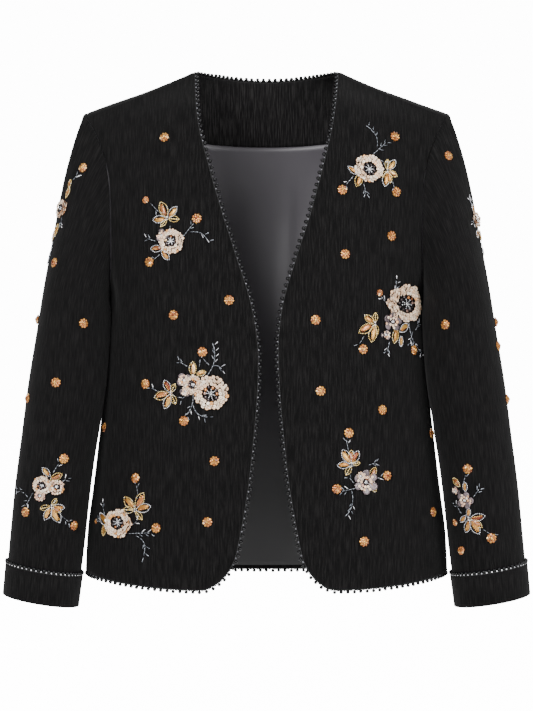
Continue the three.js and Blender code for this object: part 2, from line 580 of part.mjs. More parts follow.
const SOLIDS_OF = { blossom: blossomSolids, leaf: leafSolids, cluster: clusterSolids };
const joined = (solids) => solids.reduce((whole, solid) => whole.add(solid));
const withoutHollows = (solid) => joined(solid.decompose().filter((part) => part.volume() > 0));

// A wall with its bead rosettes raised from its outer surface, over a plain inside.
function withRosettes(geometry, places) {
  const outline = [0, 60, 120, 180, 240, 300].map((turn) => polar(1, turn));
  const domes = places.map(({ lay, radius }) => reliefSolid(
    lay, [0, 0], outline.map(([a, b]) => [a * radius, b * radius]),
    [{ scale: 1, h: -WALL * 0.65 }, { scale: 1, h: 0.9, crown: 2 }],
  ));
  return fromManifold(joined([toManifold(geometry), ...domes]));
}

// Normals of a sheet of points from its neighbours; a ring sheet closes on itself.
function sheetNormals(points, facing, ring = false) {
  const rows = points.length;
  const columns = points[0].length;
  return points.map((line, r) => line.map((_, c) => {
    const before = ring ? (c + columns - 1) % columns : Math.max(c - 1, 0);
    const after = ring ? (c + 1) % columns : Math.min(c + 1, columns - 1);
    const across = points[r][after].clone().sub(points[r][before]);
    const up = points[Math.min(r + 1, rows - 1)][c].clone().sub(points[Math.max(r - 1, 0)][c]);
    return across.cross(up).multiplyScalar(facing).normalize();
  }));
}

const offsetSheet = (points, normals, distance) => points.map((line, r) => line.map(
  (point, c) => point.clone().addScaledVector(normals[r][c], distance),
));

// A closed wall between an outer and an inner sheet of points.
function wall(outer, inner, ring = false) {
  const rows = outer.length;
  const columns = outer[0].length;
  const positions = [outer, inner].flat(2).flatMap((point) => [point.x, point.y, point.z]);
  const index = [];
  const at = (sheet, r, c) => sheet * rows * columns + r * columns + (c % columns);
  const quad = (a, b, c, d) => index.push(a, b, c, a, c, d);
  const spans = ring ? columns : columns - 1;
  const lastRow = rows - 1;
  const lastColumn = columns - 1;
  for (let c = 0; c < spans; c += 1) {
    for (let r = 0; r < lastRow; r += 1) {
      quad(at(0, r, c), at(0, r, c + 1), at(0, r + 1, c + 1), at(0, r + 1, c));
      quad(at(1, r, c), at(1, r + 1, c), at(1, r + 1, c + 1), at(1, r, c + 1));
    }
    quad(at(1, 0, c), at(1, 0, c + 1), at(0, 0, c + 1), at(0, 0, c));
    quad(at(0, lastRow, c + 1), at(1, lastRow, c + 1), at(1, lastRow, c), at(0, lastRow, c));
  }
  for (let r = 0; !ring && r < lastRow; r += 1) {
    quad(at(0, r, 0), at(0, r + 1, 0), at(1, r + 1, 0), at(1, r, 0));
    quad(at(0, r, lastColumn), at(1, r, lastColumn), at(1, r + 1, lastColumn), at(0, r + 1, lastColumn));
  }
  return outwardGeometry(positions, index);
}

// A geometry from its corners and triangles, turned so that its faces point out.
function outwardGeometry(positions, index) {
  const corner = (i) => vec(positions[3 * i], positions[3 * i + 1], positions[3 * i + 2]);
  let volume = 0;
  for (let i = 0; i < index.length; i += 3) {
    volume += corner(index[i]).dot(corner(index[i + 1]).cross(corner(index[i + 2])));
  }
  const geometry = new THREE.BufferGeometry();
  geometry.setAttribute('position', new THREE.Float32BufferAttribute(positions, 3));
  if (volume < 0) {
    for (let i = 0; i < index.length; i += 3) {
      [index[i + 1], index[i + 2]] = [index[i + 2], index[i + 1]];
    }
  }
  geometry.setIndex(index);
  return geometry;
}

const range = (count) => Array.from({ length: count + 1 }, (_, i) => i);

// Moves one line of a sheet towards its neighbouring line, to leave half a seam's gap.
function easeSeam(line, neighbour) {
  line.forEach((point, i) => {
    const toward = neighbour[i].clone().sub(point).normalize();
    point.addScaledVector(toward, SEAM_GAP / 2);
  });
}

// The body's three shell panels as sheets of points with their normals.
function bodySheets() {
  const lastFront = FRONT_ROWS.length - 1;
  const lastBack = BACK_ROWS.length - 1;
  const half = NECK_COLUMNS + FRONT_COLUMNS;
  const back = { points: range(lastBack).map((r) => range(2 * half).map((c) => backPoint(c / half - 1, r))) };
  back.normals = sheetNormals(back.points, -1);
  const fronts = {};
  for (const side of [-1, 1]) {
    const points = range(lastFront).map((r) => range(FRONT_COLUMNS).map(
      (c) => frontPoint(side, c / FRONT_COLUMNS, r),
    ));
    const front = { points, normals: sheetNormals(points, side) };
    const backColumn = (c) => half + side * (NECK_COLUMNS + c);
    for (const c of range(FRONT_COLUMNS)) {
      shareNormal(front.normals[lastFront][c], back.normals[lastBack][backColumn(c)]);
    }
    for (const r of range(UNDERARM_ROW)) {
      shareNormal(front.normals[r][FRONT_COLUMNS], back.normals[r][backColumn(FRONT_COLUMNS)]);
    }
    fronts[side] = front;
  }
  const armholes = {};
  for (const side of [-1, 1]) {
    armholes[side] = { front: fronts[side].normals.map((line) => line[FRONT_COLUMNS]) };
    armholes[side].back = back.normals.map((line) => line[side < 0 ? 0 : 2 * half]);
    const front = fronts[side];
    easeSeam(front.points[lastFront], front.points[lastFront - 1]);
    for (const r of range(UNDERARM_ROW)) {
      front.points[r][FRONT_COLUMNS].y -= SEAM_GAP / 2;
      back.points[r][side < 0 ? 0 : 2 * half].y += SEAM_GAP / 2;
    }
  }
  for (const c of range(2 * half).filter((c) => Math.abs(c - half) >= NECK_COLUMNS)) {
    const line = back.points[lastBack];
    const toward = back.points[lastBack - 1][c].clone().sub(line[c]).normalize();
    line[c].addScaledVector(toward, SEAM_GAP / 2);
  }
  return { fronts, back, armholes };
}

// Gives two normals at one seam point their common direction.
function shareNormal(first, second) {
  const shared = first.clone().add(second).normalize();
  first.copy(shared);
  second.copy(shared);
}

// The places round a sleeve where its ring points lie: one for each armhole point of the body
// and one between.
function roundPlaces() {
  const frontSteps = 2 * (FRONT_ROWS.length - 1 - UNDERARM_ROW);
  const backSteps = 2 * (BACK_ROWS.length - 1 - UNDERARM_ROW);
  const inFront = range(frontSteps).map((i) => i / (2 * frontSteps));
  const behind = range(backSteps).slice(1, -1).map((i) => 0.5 + i / (2 * backSteps));
  return [...inFront, ...behind];
}

// A sleeve's outer points and normals; ring 0 takes the body's normals where the two meet at a ridge.
function sleeveSheet(side, armhole) {
  const places = roundPlaces();
  const points = SLEEVE_MESH_RINGS.map((ring) => places.map((round) => sleevePoint(side, round, ring)));
  const head = points[0];
  for (let i = 1; i < head.length; i += 2) {
    head[i].lerpVectors(head[i - 1], head[(i + 1) % head.length], 0.5);
  }
  const normals = sheetNormals(points, side, true);
  const behind = armhole.back.slice(UNDERARM_ROW + 1);
  const bodyNormals = [...armhole.front.slice(UNDERARM_ROW).reverse(), ...behind];
  places.forEach((_, i) => {
    const before = bodyNormals[Math.floor(i / 2)];
    const body = before.clone().lerp(bodyNormals[Math.ceil(i / 2)], 0.5);
    const own = normals[0][i];
    own.lerp(body, smooth(-0.2, 0.5, own.dot(body))).normalize();
  });
  return { points, normals };
}

// A strip that hems a line of boundary points: outer and inner corners, moved out of the cloth's edge.
// At a seam its end follows the seam, whose next points inside the cloth are seamEnds.
function trimAlong(outer, inner, within, seamEnds = [], ring = false) {
  const count = outer.length;
  const sections = outer.map((point, i) => {
    const before = ring ? (i + count - 1) % count : Math.max(i - 1, 0);
    const after = ring ? (i + 1) % count : Math.min(i + 1, count - 1);
    const along = outer[after].clone().sub(outer[before]).normalize();
    const through = point.clone().sub(inner[i]).normalize();
    const away = along.clone().cross(through).normalize();
    if (away.dot(within[i].clone().sub(point)) > 0) away.negate();
    const seam = i === 0 ? seamEnds[0] : i === count - 1 && seamEnds[1];
    if (seam) away.copy(point).sub(seam).normalize();
    const corner = (base, distance) => base.clone().addScaledVector(away, distance);
    const reach = SEAM_GAP + TRIM_WIDTH;
    return [
      corner(point, SEAM_GAP), corner(point, reach), corner(inner[i], reach), corner(inner[i], SEAM_GAP),
    ];
  });
  return stripGeometry(sections, ring);
}

// A closed strip through sections of four corners each.
function stripGeometry(sections, ring = false) {
  const count = sections.length;
  const positions = sections.flat().flatMap((p) => [p.x, p.y, p.z]);
  const index = [];
  const at = (i, k) => (i % count) * 4 + (k % 4);
  const spans = ring ? count : count - 1;
  for (let i = 0; i < spans; i += 1) {
    for (let k = 0; k < 4; k += 1) {
      index.push(at(i, k), at(i, k + 1), at(i + 1, k + 1), at(i, k), at(i + 1, k + 1), at(i + 1, k));
    }
  }
  if (!ring) {
    const last = count - 1;
    index.push(at(0, 0), at(0, 2), at(0, 1), at(0, 0), at(0, 3), at(0, 2));
    index.push(at(last, 0), at(last, 1), at(last, 2), at(last, 0), at(last, 2), at(last, 3));
  }
  return outwardGeometry(positions, index);
}

const group = new THREE.Group();
function addPiece(name, geometry, look) {
  const mesh = new THREE.Mesh(geometry, new THREE.MeshStandardMaterial(look));
  mesh.name = name;
  group.add(mesh);
}

const sideName = (side) => (side < 0 ? 'right' : 'left');
const body = bodySheets();

for (const side of [-1, 1]) {
  const { points, normals } = body.fronts[side];
  const inner = offsetSheet(points, normals, -WALL);
  const surface = pieceSurface('front', side);
  const places = FRONT_ROSETTES.filter((spot) => spot.side === side).map((spot) => (
    { lay: layOn(surface, spot.across, spot.row), radius: spot.radius ?? ROSETTE_RADIUS }
  ));
  addPiece(`front_${sideName(side)}`, withRosettes(wall(points, inner), places), CLOTH);
  const edge = (sheet) => [...sheet.map((line) => line[0]).reverse(), ...sheet[0].slice(1)];
  const within = [...points.map((line) => line[1]).reverse(), ...points[1].slice(1)];
  const seamEnds = [points.at(-1)[1], points[1].at(-1)];
  addPiece(`trim_front_${sideName(side)}`, trimAlong(edge(points), edge(inner), within, seamEnds), JET);
}

const backInner = offsetSheet(body.back.points, body.back.normals, -WALL);
addPiece('back', wall(body.back.points, backInner), CLOTH);
const [hemLine, aboveHem] = body.back.points;
addPiece('trim_hem_back', trimAlong(hemLine, backInner[0], aboveHem, [aboveHem[0], aboveHem.at(-1)]), JET);
const middle = NECK_COLUMNS + FRONT_COLUMNS;
const atNeck = (line) => line.slice(middle - NECK_COLUMNS, middle + NECK_COLUMNS + 1);
const shoulderLine = body.back.points.at(-1);
const besideNeck = [shoulderLine[middle - NECK_COLUMNS - 1], shoulderLine[middle + NECK_COLUMNS + 1]];
const neckGeometry = trimAlong(
  atNeck(shoulderLine), atNeck(backInner.at(-1)), atNeck(body.back.points.at(-2)), besideNeck,
);
addPiece('trim_back_neck', neckGeometry, JET);

// The neck facing and the lining lie inside the back: its own points, moved in past the shell's wall.
function insideBack(rows, columns, thickness, gap) {
  const pick = (sheet) => rows.map(({ row, share }) => columns.map(
    (c) => sheet[row][c].clone().lerp(sheet[row + 1]?.[c] ?? sheet[row][c], share),
  ));
  const points = pick(body.back.points);
  const normals = pick(body.back.normals);
  const outer = offsetSheet(points, normals, -(WALL + gap));
  const inner = offsetSheet(points, normals, -(WALL + gap + thickness));
  return wall(outer, inner);
}
const whole = (row) => ({ row, share: 0 });
const facingRows = range(BACK_ROWS.length - 1).slice(FACING_ROW).map(whole);
const facingColumns = range(2 * middle).filter((c) => Math.abs(c - middle) <= NECK_COLUMNS + FACING_COLUMNS);
addPiece('back_neck_facing', insideBack(facingRows, facingColumns, FACING, LAYER_GAP), CLOTH);
const liningRows = [
  { row: 0, share: LINING_HEM_SHARE },
  ...range(FACING_ROW - 1).slice(1).map(whole),
  { row: FACING_ROW - 1, share: LINING_TOP_SHARE },
];
addPiece('back_lining', insideBack(liningRows, range(2 * middle), LINING, LAYER_GAP), SATIN);

for (const side of [-1, 1]) {
  const { points, normals } = sleeveSheet(side, body.armholes[side]);
  const surface = pieceSurface('sleeve', side);
  const places = SLEEVE_ROSETTES.filter((spot) => spot.side === side).map((spot) => (
    { lay: layOn(surface, spot.round, spot.ring), radius: spot.radius ?? ROSETTE_RADIUS }
  ));
  const tube = wall(points, offsetSheet(points, normals, -WALL), true);
  addPiece(`sleeve_${sideName(side)}`, withRosettes(tube, places), CLOTH);
  const turned = { points: points.slice(-2), normals: normals.slice(-2) };
  const under = offsetSheet(turned.points, turned.normals, LAYER_GAP);
  const over = offsetSheet(turned.points, turned.normals, LAYER_GAP + WALL);
  addPiece(`cuff_${sideName(side)}`, wall(over, under, true), CLOTH);
  addPiece(`trim_cuff_${sideName(side)}`, trimAlong(over[0], under[0], over[1], [], true), JET);
}

for (const { name, piece, side, u, v, wide, motifs } of SPRAYS) {
  const lay = layOn(pieceSurface(piece, side), u, v);
  const solids = motifs.flatMap((motif) => SOLIDS_OF[motif.kind](lay, motif, wide));
  solids.push(...stemSolids(lay, motifs, wide));
  addPiece(name, fromManifold(withoutHollows(joined(solids))), BEADWORK);
}

export default group;
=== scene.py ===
"""Embroidered collarless jacket: cloth, beaded edging and embroidery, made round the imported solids."""
import math
import random

import bmesh
import bpy
import numpy as np
from mathutils import Matrix, Vector


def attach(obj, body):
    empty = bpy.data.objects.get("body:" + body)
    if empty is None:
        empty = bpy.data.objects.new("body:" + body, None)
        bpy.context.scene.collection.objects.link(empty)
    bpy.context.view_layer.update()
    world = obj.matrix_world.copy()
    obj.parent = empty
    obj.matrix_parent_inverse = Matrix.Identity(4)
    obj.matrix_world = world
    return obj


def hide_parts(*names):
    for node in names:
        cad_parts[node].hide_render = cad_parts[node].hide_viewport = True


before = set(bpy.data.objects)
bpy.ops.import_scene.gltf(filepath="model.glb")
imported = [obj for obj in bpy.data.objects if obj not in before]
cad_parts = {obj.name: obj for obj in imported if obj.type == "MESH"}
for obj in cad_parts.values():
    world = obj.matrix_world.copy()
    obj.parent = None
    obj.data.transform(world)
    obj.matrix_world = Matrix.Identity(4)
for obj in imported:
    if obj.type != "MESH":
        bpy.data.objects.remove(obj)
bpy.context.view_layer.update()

bl_info = {
    "name": "Embroidered jacket",
    "version": (1, 0, 0),
    "blender": (4, 5, 0),
    "location": "3D View > Sidebar > Jacket",
    "description": "Makes the cloth, beaded edging and embroidery of a collarless jacket",
    "category": "Mesh",
}

MM = 0.001
ROOT = "root"
SIDES = ((-1, "right"), (1, "left"))

# The surfaces have the same tables as the solids, in metres.
ARMHOLE_GAP = 0.00035
NECK_SIDE = 0.0785
NECK_RISE = 0.9
FRONT_STEPS = 9
NECK_STEPS = 4
UNDERARM_ROW = 10
FRONT_SEAM_ROW = 18
BACK_SEAM_ROW = 20
FACING_ROW = 16
FACING_STEPS = 4
CAP_RINGS = 6
ARM_RINGS = 8
SLEEVE_RINGS_IN_ALL = CAP_RINGS + ARM_RINGS
CORNER_TOP = -0.516
CORNER_WIDTH = 0.030
HEM_FRONT = -0.5552
NECK_SHARE = NECK_STEPS / (NECK_STEPS + FRONT_STEPS)
LAYER_GAP = 0.0003
SEAM_HALF_GAP = 0.00015


def table(columns, rows):
    """Rows of numbers as dictionaries with named columns."""
    names = columns.split()
    return [dict(zip(names, row)) for row in rows]


FRONT_EDGE = table("z right left", (
    (0.02, 0.0785, 0.0785),
    (-0.005, 0.0785, 0.0785),
    (-0.06, 0.0735, 0.0715),
    (-0.105, 0.062, 0.061),
    (-0.16, 0.0465, 0.0465),
    (-0.208, 0.031, 0.031),
    (-0.251, 0.0175, 0.0185),
    (-0.292, 0.0103, 0.0132),
    (-0.33, 0.0093, 0.0137),
    (-0.385, 0.013, 0.0178),
    (-0.447, 0.0195, 0.0245),
    (-0.487, 0.026, 0.0315),
    (-0.52, 0.033, 0.038),
    (-0.56, 0.042, 0.046),
))
BODY_BOW = 2.2


def low_front(edge_z, z, x, depth, rise=1, flat=0):
    """A row of a front below the armhole."""
    return edge_z, z, x, 0, depth, BODY_BOW, BODY_BOW, rise, flat


def low_back(mid_z, z, x, depth, flat=0):
    """A row of the back below the armhole, where the neck's curve plays no part."""
    return mid_z, z, x, 0, depth, BODY_BOW, BODY_BOW, 2, flat, 0, depth, mid_z


FRONT_ROWS = table("edge_z z x y depth bow wrap rise flat", (
    *(low_front(*row) for row in (
        (HEM_FRONT, -0.5433, 0.1983, -0.112, 2), (-0.5506, -0.524, 0.198, -0.1116, 1.5),
        (-0.5418, -0.503, 0.1966, -0.111, 1.2), (-0.529, -0.481, 0.1942, -0.1104, 1.1),
        (CORNER_TOP, -0.457, 0.1912, -0.1098), (-0.47, -0.425, 0.187, -0.1086),
        (-0.42, -0.388, 0.1828, -0.1076), (-0.37, -0.35, 0.1789, -0.1074), (-0.32, -0.312, 0.1756, -0.1084),
        (-0.273, -0.276, 0.173, -0.11), (-0.232, -0.245, 0.1714, -0.111, 1, 0.05),
    )),
    (-0.205, -0.226, 0.1702, -0.029, -0.11, 2.25, 1.6, 1, 0.2),
    (-0.176, -0.203, 0.1686, -0.043, -0.1075, 2.3, 1.3, 1, 0.4),
    (-0.144, -0.176, 0.168, -0.0505, -0.103, 2.4, 1.12, 1, 0.6),
    (-0.112, -0.148, 0.168, -0.053, -0.0955, 2.4, 1, 1, 0.75),
    (-0.082, -0.12, 0.1698, -0.051, -0.086, 2.4, 1, 1, 0.87),
    (-0.054, -0.094, 0.175, -0.045, -0.0725, 2.3, 1, 1, 0.95),
    (-0.029, -0.068, 0.185, -0.034, -0.052, 2.2, 1, 1, 1),
    (0.0025, -0.0465, 0.1975, -0.018, -0.0132, 1, 1, NECK_RISE, 1),
))
BACK_ROWS = table("mid_z z x y depth bow wrap rise flat neck neck_y neck_z", (
    *(low_back(*row) for row in (
        (-0.5514, -0.5433, 0.1983, 0.11), (-0.531, -0.524, 0.198, 0.1094), (-0.509, -0.503, 0.1966, 0.1084),
        (-0.486, -0.481, 0.1942, 0.107), (-0.461, -0.457, 0.1912, 0.1054), (-0.427, -0.425, 0.187, 0.103),
        (-0.388, -0.388, 0.1828, 0.101), (-0.348, -0.35, 0.1789, 0.1004), (-0.308, -0.312, 0.1756, 0.102),
        (-0.27, -0.276, 0.173, 0.105), (-0.238, -0.245, 0.1714, 0.108, 0.05),
    )),
    (-0.211, -0.226, 0.1702, 0.03, 0.11, 2.25, 1.6, 2, 0.2, 0, 0.11, -0.211),
    (-0.184, -0.203, 0.169, 0.045, 0.1114, 2.3, 1.3, 2, 0.4, 0, 0.1114, -0.184),
    (-0.155, -0.176, 0.1686, 0.054, 0.1114, 2.4, 1.1, 2, 0.6, 0, 0.1114, -0.155),
    (-0.126, -0.148, 0.1686, 0.058, 0.109, 2.4, 1, 2, 0.75, 0.1, 0.104, -0.122),
    (-0.097, -0.12, 0.1705, 0.057, 0.104, 2.4, 1, 2, 0.85, 0.3, 0.094, -0.09),
    (-0.07, -0.094, 0.176, 0.051, 0.097, 2.4, 1, 2, 0.95, 0.55, 0.077, -0.058),
    (-0.045, -0.068, 0.185, 0.04, 0.088, 2.4, 1, 2, 1, 0.8, 0.052, -0.025),
    (-0.0255, -0.05, 0.193, 0.022, 0.079, 2.4, 1, 2, 1, 0.95, 0.025, -0.004),
    (-0.011, -0.0415, 0.1975, 0.002, 0.07, 2.4, 1, 2, 1, 1, 0.002, 0.0041),
    (0.0, -0.0465, 0.1975, -0.018, 0.062, 2.4, 1, 2, 1, 1, -0.0151, 0.0025),
))
SLEEVE_RINGS = table("z x y half deep tilt", (
    (-0.264, 0.2094, -0.022, 0.0375, 0.058, 8),
    (-0.34, 0.2172, -0.03, 0.041, 0.056, 8),
    (-0.418, 0.2278, -0.033, 0.0408, 0.052, 8.6),
    (-0.496, 0.2368, -0.033, 0.0408, 0.0485, 9.4),
    (-0.5735, 0.2449, -0.033, 0.0396, 0.046, 10),
))
SLEEVE_CREASES = table("side round start end lean width depth", (
    (-1, 0.2, 2, 8, -0.1, 0.06, 0.0026),
    (1, 0.27, 2, 7, -0.08, 0.06, 0.0018),
    (-1, 0.74, 5, 11, 0.05, 0.07, 0.0024),
    (1, 0.72, 5, 11, 0.06, 0.07, 0.0024),
    (-1, 0.47, 1.6, 10, 0, 0.045, -0.0036),
    (1, 0.47, 1.6, 10, 0, 0.045, -0.0036),
))


def mix(a, b, t):
    """The value a share t of the way from a to b."""
    return a + (b - a) * t


def clamp(value, low, high):
    """The value kept between two limits."""
    return min(max(value, low), high)


def curve_through(before, start, end, after, t):
    """A value on a smooth curve through four neighbouring values."""
    slope_in = (end - before) / 2
    slope_out = (after - start) / 2
    bend = 3 * (end - start) - 2 * slope_in - slope_out
    twist = slope_in + slope_out - 2 * (end - start)
    return start + slope_in * t + bend * t * t + twist * t * t * t


def row_at(rows, position):
    """The row of a table at a fractional position."""
    last = len(rows) - 1
    below = int(clamp(math.floor(position), 0, last - 1))
    near = [rows[int(clamp(below + step, 0, last))] for step in (-1, 0, 1, 2)]
    return {key: curve_through(*(row[key] for row in near), position - below) for key in rows[0]}


def front_edge(side, z):
    """Half-distance of a front's edge from the middle at one height."""
    key = "right" if side < 0 else "left"
    last = len(FRONT_EDGE) - 1
    below = next((i for i, row in enumerate(FRONT_EDGE) if row["z"] <= z), last)
    index = int(clamp(below - 1, 0, last - 1))
    near = [FRONT_EDGE[int(clamp(index + step, 0, last))] for step in (-1, 0, 1, 2)]
    t = (z - near[1]["z"]) / (near[2]["z"] - near[1]["z"])
    straight = curve_through(*(row[key] for row in near), t)
    dip = clamp((CORNER_TOP - z) / (CORNER_TOP - HEM_FRONT), 0, 1)
    return straight + CORNER_WIDTH * (1 - math.sqrt(1 - dip * dip))


def rounding(s, row):
    """How far a row has come from its middle depth to its outer end."""
    return 1 - max(1 - s ** row["bow"], 0) ** (1 / row["wrap"])


def front_point(side, across, position):
    """A point of a front: across is 0 at the opening and 1 at the side, rows count from the hem."""
    row = row_at(FRONT_ROWS, position)
    start = front_edge(side, row["edge_z"]) / row["x"]
    turned = math.sin(mix(math.asin(start), math.pi / 2, across))
    s = clamp(mix(turned, mix(start, 1, across), clamp(row["flat"], 0, 1)), 0, 1)
    y = mix(row["depth"], row["y"], rounding(s, row))
    z = mix(row["edge_z"], row["z"], clamp((s - start) / (1 - start), 0, 1) ** row["rise"])
    return Vector((side * row["x"] * s, y, z))


def back_point(across, position):
    """A point of the back, across -1 to 1."""
    row = row_at(BACK_ROWS, position)
    side = math.copysign(1, across)
    share = abs(across)
    neck_s = NECK_SIDE / row["x"]
    if share < NECK_SHARE:
        even = neck_s * share / NECK_SHARE
    else:
        even = mix(neck_s, 1, (share - NECK_SHARE) / (1 - NECK_SHARE))
    s = clamp(mix(math.sin(share * math.pi / 2), even, clamp(row["flat"], 0, 1)), 0, 1)
    plain_y = mix(row["depth"], row["y"], rounding(s, row))
    plain_z = mix(row["mid_z"], row["z"], s ** row["rise"])
    in_neck = min(s / neck_s, 1)
    past = max((s - neck_s) / (1 - neck_s), 0)
    if s < neck_s:
        neck_y = mix(row["depth"], row["neck_y"], in_neck ** 2)
        neck_z = mix(row["mid_z"], row["neck_z"], in_neck ** 2)
    else:
        neck_y = mix(row["neck_y"], row["y"], past)
        neck_z = mix(row["neck_z"], row["z"], past ** NECK_RISE)
    bend = clamp(row["neck"], 0, 1)
    return Vector((side * row["x"] * s, mix(plain_y, neck_y, bend), mix(plain_z, neck_z, bend)))


def armhole_point(side, round_):
    """The armhole at a place round it: 0 at the tip, 0.25 in front, 0.5 under the arm."""
    if round_ <= 0.5:
        return front_point(side, 1, UNDERARM_ROW + (FRONT_SEAM_ROW - UNDERARM_ROW) * (1 - 2 * round_))
    return back_point(side, UNDERARM_ROW + (BACK_SEAM_ROW - UNDERARM_ROW) * (2 * round_ - 1))


def arm_point(side, round_, ring):
    """A point of a sleeve ring below the cap."""
    row = row_at(SLEEVE_RINGS, ring / ARM_RINGS * (len(SLEEVE_RINGS) - 1))
    angle = 2 * math.pi * round_
    tilt = math.radians(row["tilt"])
    outward = row["half"] * math.cos(angle)
    return Vector((
        side * (row["x"] + outward * math.cos(tilt)),
        row["y"] - row["deep"] * math.sin(angle),
        row["z"] + outward * math.sin(tilt),
    ))


def crease_depth(side, round_, ring):
    """How deep the sleeve's troughs are at one place."""
    depth = 0
    for crease in SLEEVE_CREASES:
        along = (ring - crease["start"]) / (crease["end"] - crease["start"])
        if crease["side"] != side or along <= 0 or along >= 1:
            continue
        off = (round_ - crease["round"] - crease["lean"] * (along - 0.5)) / crease["width"]
        depth += crease["depth"] * math.sin(math.pi * along) * math.exp(-off * off)
    return depth


def sleeve_point(side, round_, ring):
    """A point of a sleeve."""
    round_ = round_ % 1
    angle = 2 * math.pi * round_
    depth = crease_depth(side, round_, ring)
    inward = Vector((-side * math.cos(angle), math.sin(angle), 0)) * depth
    if ring >= CAP_RINGS:
        return arm_point(side, round_, ring - CAP_RINGS) + inward
    start = armhole_point(side, round_) + Vector((side * ARMHOLE_GAP, 0, 0))
    end = arm_point(side, round_, 0)
    reach = (end - start).length
    top = (1 + math.cos(angle)) / 2
    swell = math.sin(angle) ** 2
    leave = Vector((side * (0.03 + 0.59 * top + 0.35 * swell), -0.42 * math.sin(angle), -(1 - 0.22 * top)))
    leave = leave.normalized() * reach * mix(0.8, 0.41, top)
    arrive = (arm_point(side, round_, 0.5) - end).normalized() * reach * 0.95
    t = ring / CAP_RINGS
    point = start * (2 * t ** 3 - 3 * t ** 2 + 1) + leave * (t ** 3 - 2 * t ** 2 + t)
    return point + end * (3 * t ** 2 - 2 * t ** 3) + arrive * (t ** 3 - t ** 2) + inward


# Soft troughs pressed into the cloth: from one place to another, with width and depth in metres.
CREASES = {
    ("front", -1): table("u0 v0 u1 v1 width depth", (
        (0.97, 11.5, 0.72, 8.6, 0.013, 0.0016), (0.9, 8.5, 0.78, 3.0, 0.017, 0.0013),
        (0.55, 6.0, 0.48, 1.0, 0.02, 0.0011), (0.3, 15.6, 0.36, 12.6, 0.016, 0.0009),
        (0.86, 15.2, 0.72, 13.2, 0.011, 0.001),
    )),
    ("front", 1): table("u0 v0 u1 v1 width depth", (
        (0.96, 11.3, 0.7, 8.9, 0.014, 0.0017), (0.88, 8.0, 0.8, 2.5, 0.016, 0.0012),
        (0.5, 6.6, 0.56, 1.2, 0.019, 0.0012), (0.28, 15.4, 0.33, 12.4, 0.016, 0.0008),
        (0.84, 15.4, 0.7, 13.5, 0.012, 0.0011),
    )),
    ("back", 0): table("u0 v0 u1 v1 width depth", (
        (-0.95, 11.6, -0.62, 9.2, 0.015, 0.0018), (0.94, 11.8, 0.64, 9.6, 0.014, 0.0017),
        (-0.3, 8.4, -0.24, 1.5, 0.02, 0.0016), (0.36, 9.2, 0.27, 2.2, 0.019, 0.0014),
        (-0.08, 12.5, -0.04, 7.5, 0.016, 0.0009), (0.62, 6.2, 0.7, 1.2, 0.018, 0.0013),
        (-0.66, 6.8, -0.74, 1.8, 0.018, 0.0012),
    )),
    ("sleeve", -1): table("u0 v0 u1 v1 width depth", (
        (0.34, 1.2, 0.29, 4.8, 0.01, 0.0013), (0.16, 0.9, 0.13, 4.0, 0.011, 0.001),
        (0.27, 7.6, 0.38, 9.2, 0.01, 0.0013), (0.12, 9.2, 0.2, 12.6, 0.012, 0.001),
        (0.63, 6.8, 0.52, 8.4, 0.011, 0.0015), (0.86, 2.0, 0.9, 7.6, 0.013, 0.0013),
    )),
    ("sleeve", 1): table("u0 v0 u1 v1 width depth", (
        (0.35, 1.1, 0.3, 4.6, 0.01, 0.0014), (0.18, 1.0, 0.14, 3.8, 0.011, 0.0009),
        (0.25, 7.8, 0.37, 9.0, 0.01, 0.0012), (0.14, 9.6, 0.17, 12.8, 0.012, 0.0011),
        (0.61, 7.0, 0.5, 8.8, 0.011, 0.0014), (0.88, 2.4, 0.84, 8.0, 0.013, 0.0012),
    )),
}
# How many metres one step of u and of v is on each piece, for the troughs.
SPANS = {"front": (0.215, 0.031), "back": (0.235, 0.028), "sleeve": (0.31, 0.042)}

# Bead rosettes at the places where the solids raise them: u, v and, for a small one, its radius.
ROSETTE = 0.0056
ROSETTES = {
    ("front", -1): (
        (0.345, 15.77), (0.58, 13.77, 0.004), (0.165, 12.61), (0.506, 11.44), (0.086, 9.57), (0.351, 9.25),
        (0.227, 8.29), (0.498, 7.42), (0.288, 6.64), (0.822, 6.09), (0.142, 5.86), (0.498, 4.98),
        (0.133, 4.5), (0.342, 3.77),
    ),
    ("front", 1): (
        (0.616, 16.25), (0.68, 14.18), (0.179, 13.59), (0.602, 12.53), (0.249, 11.45),
        (0.455, 9.97, 0.004), (0.145, 9.08), (0.369, 8.34), (0.709, 8.28), (0.164, 7.41), (0.446, 6.79),
        (0.269, 6.37), (0.86, 5.89), (0.185, 5.17), (0.429, 5.14), (0.72, 3.4), (0.26, 3.36),
    ),
    ("sleeve", -1): (
        (0.079, 1.54), (0.1, 4.43), (0.314, 6.31), (0.02, 6.4), (0.222, 7.94), (0.075, 8.5), (0.297, 9.95),
        (0.155, 11.56), (0.379, 11.73),
    ),
    ("sleeve", 1): (
        (0.065, 1.22), (0.334, 6.34), (0.02, 6.48), (0.069, 7.13), (0.05, 8.54), (0.308, 10.22),
        (0.401, 11.64, 0.004), (0.242, 12.17), (0.384, 12.39, 0.0045),
    ),
}


def motif(kind, a, b, **traits):
    return {"kind": kind, "a": a, "b": b, **traits}


def blossom(a, b, size, tone="cream", petals=6, turn=0, swell=1.0):
    return motif("blossom", a, b, size=size, tone=tone, petals=petals, turn=turn, swell=swell)


def leaf(a, b, size, turn, fill="gold"):
    return motif("leaf", a, b, size=size, turn=turn, fill=fill)


def cluster(a, b, big, small):
    """Leaves that fan out from one base: (turn, length) of the big ones and of the small ones."""
    return motif("cluster", a, b, big=big, small=small)


def twig(a, b, a_end, b_end, sides, bend=0.0):
    return motif("twig", a, b, end=(a_end, b_end), sides=sides, bend=bend)


def bud(a, b, size):
    return motif("bud", a, b, size=size)


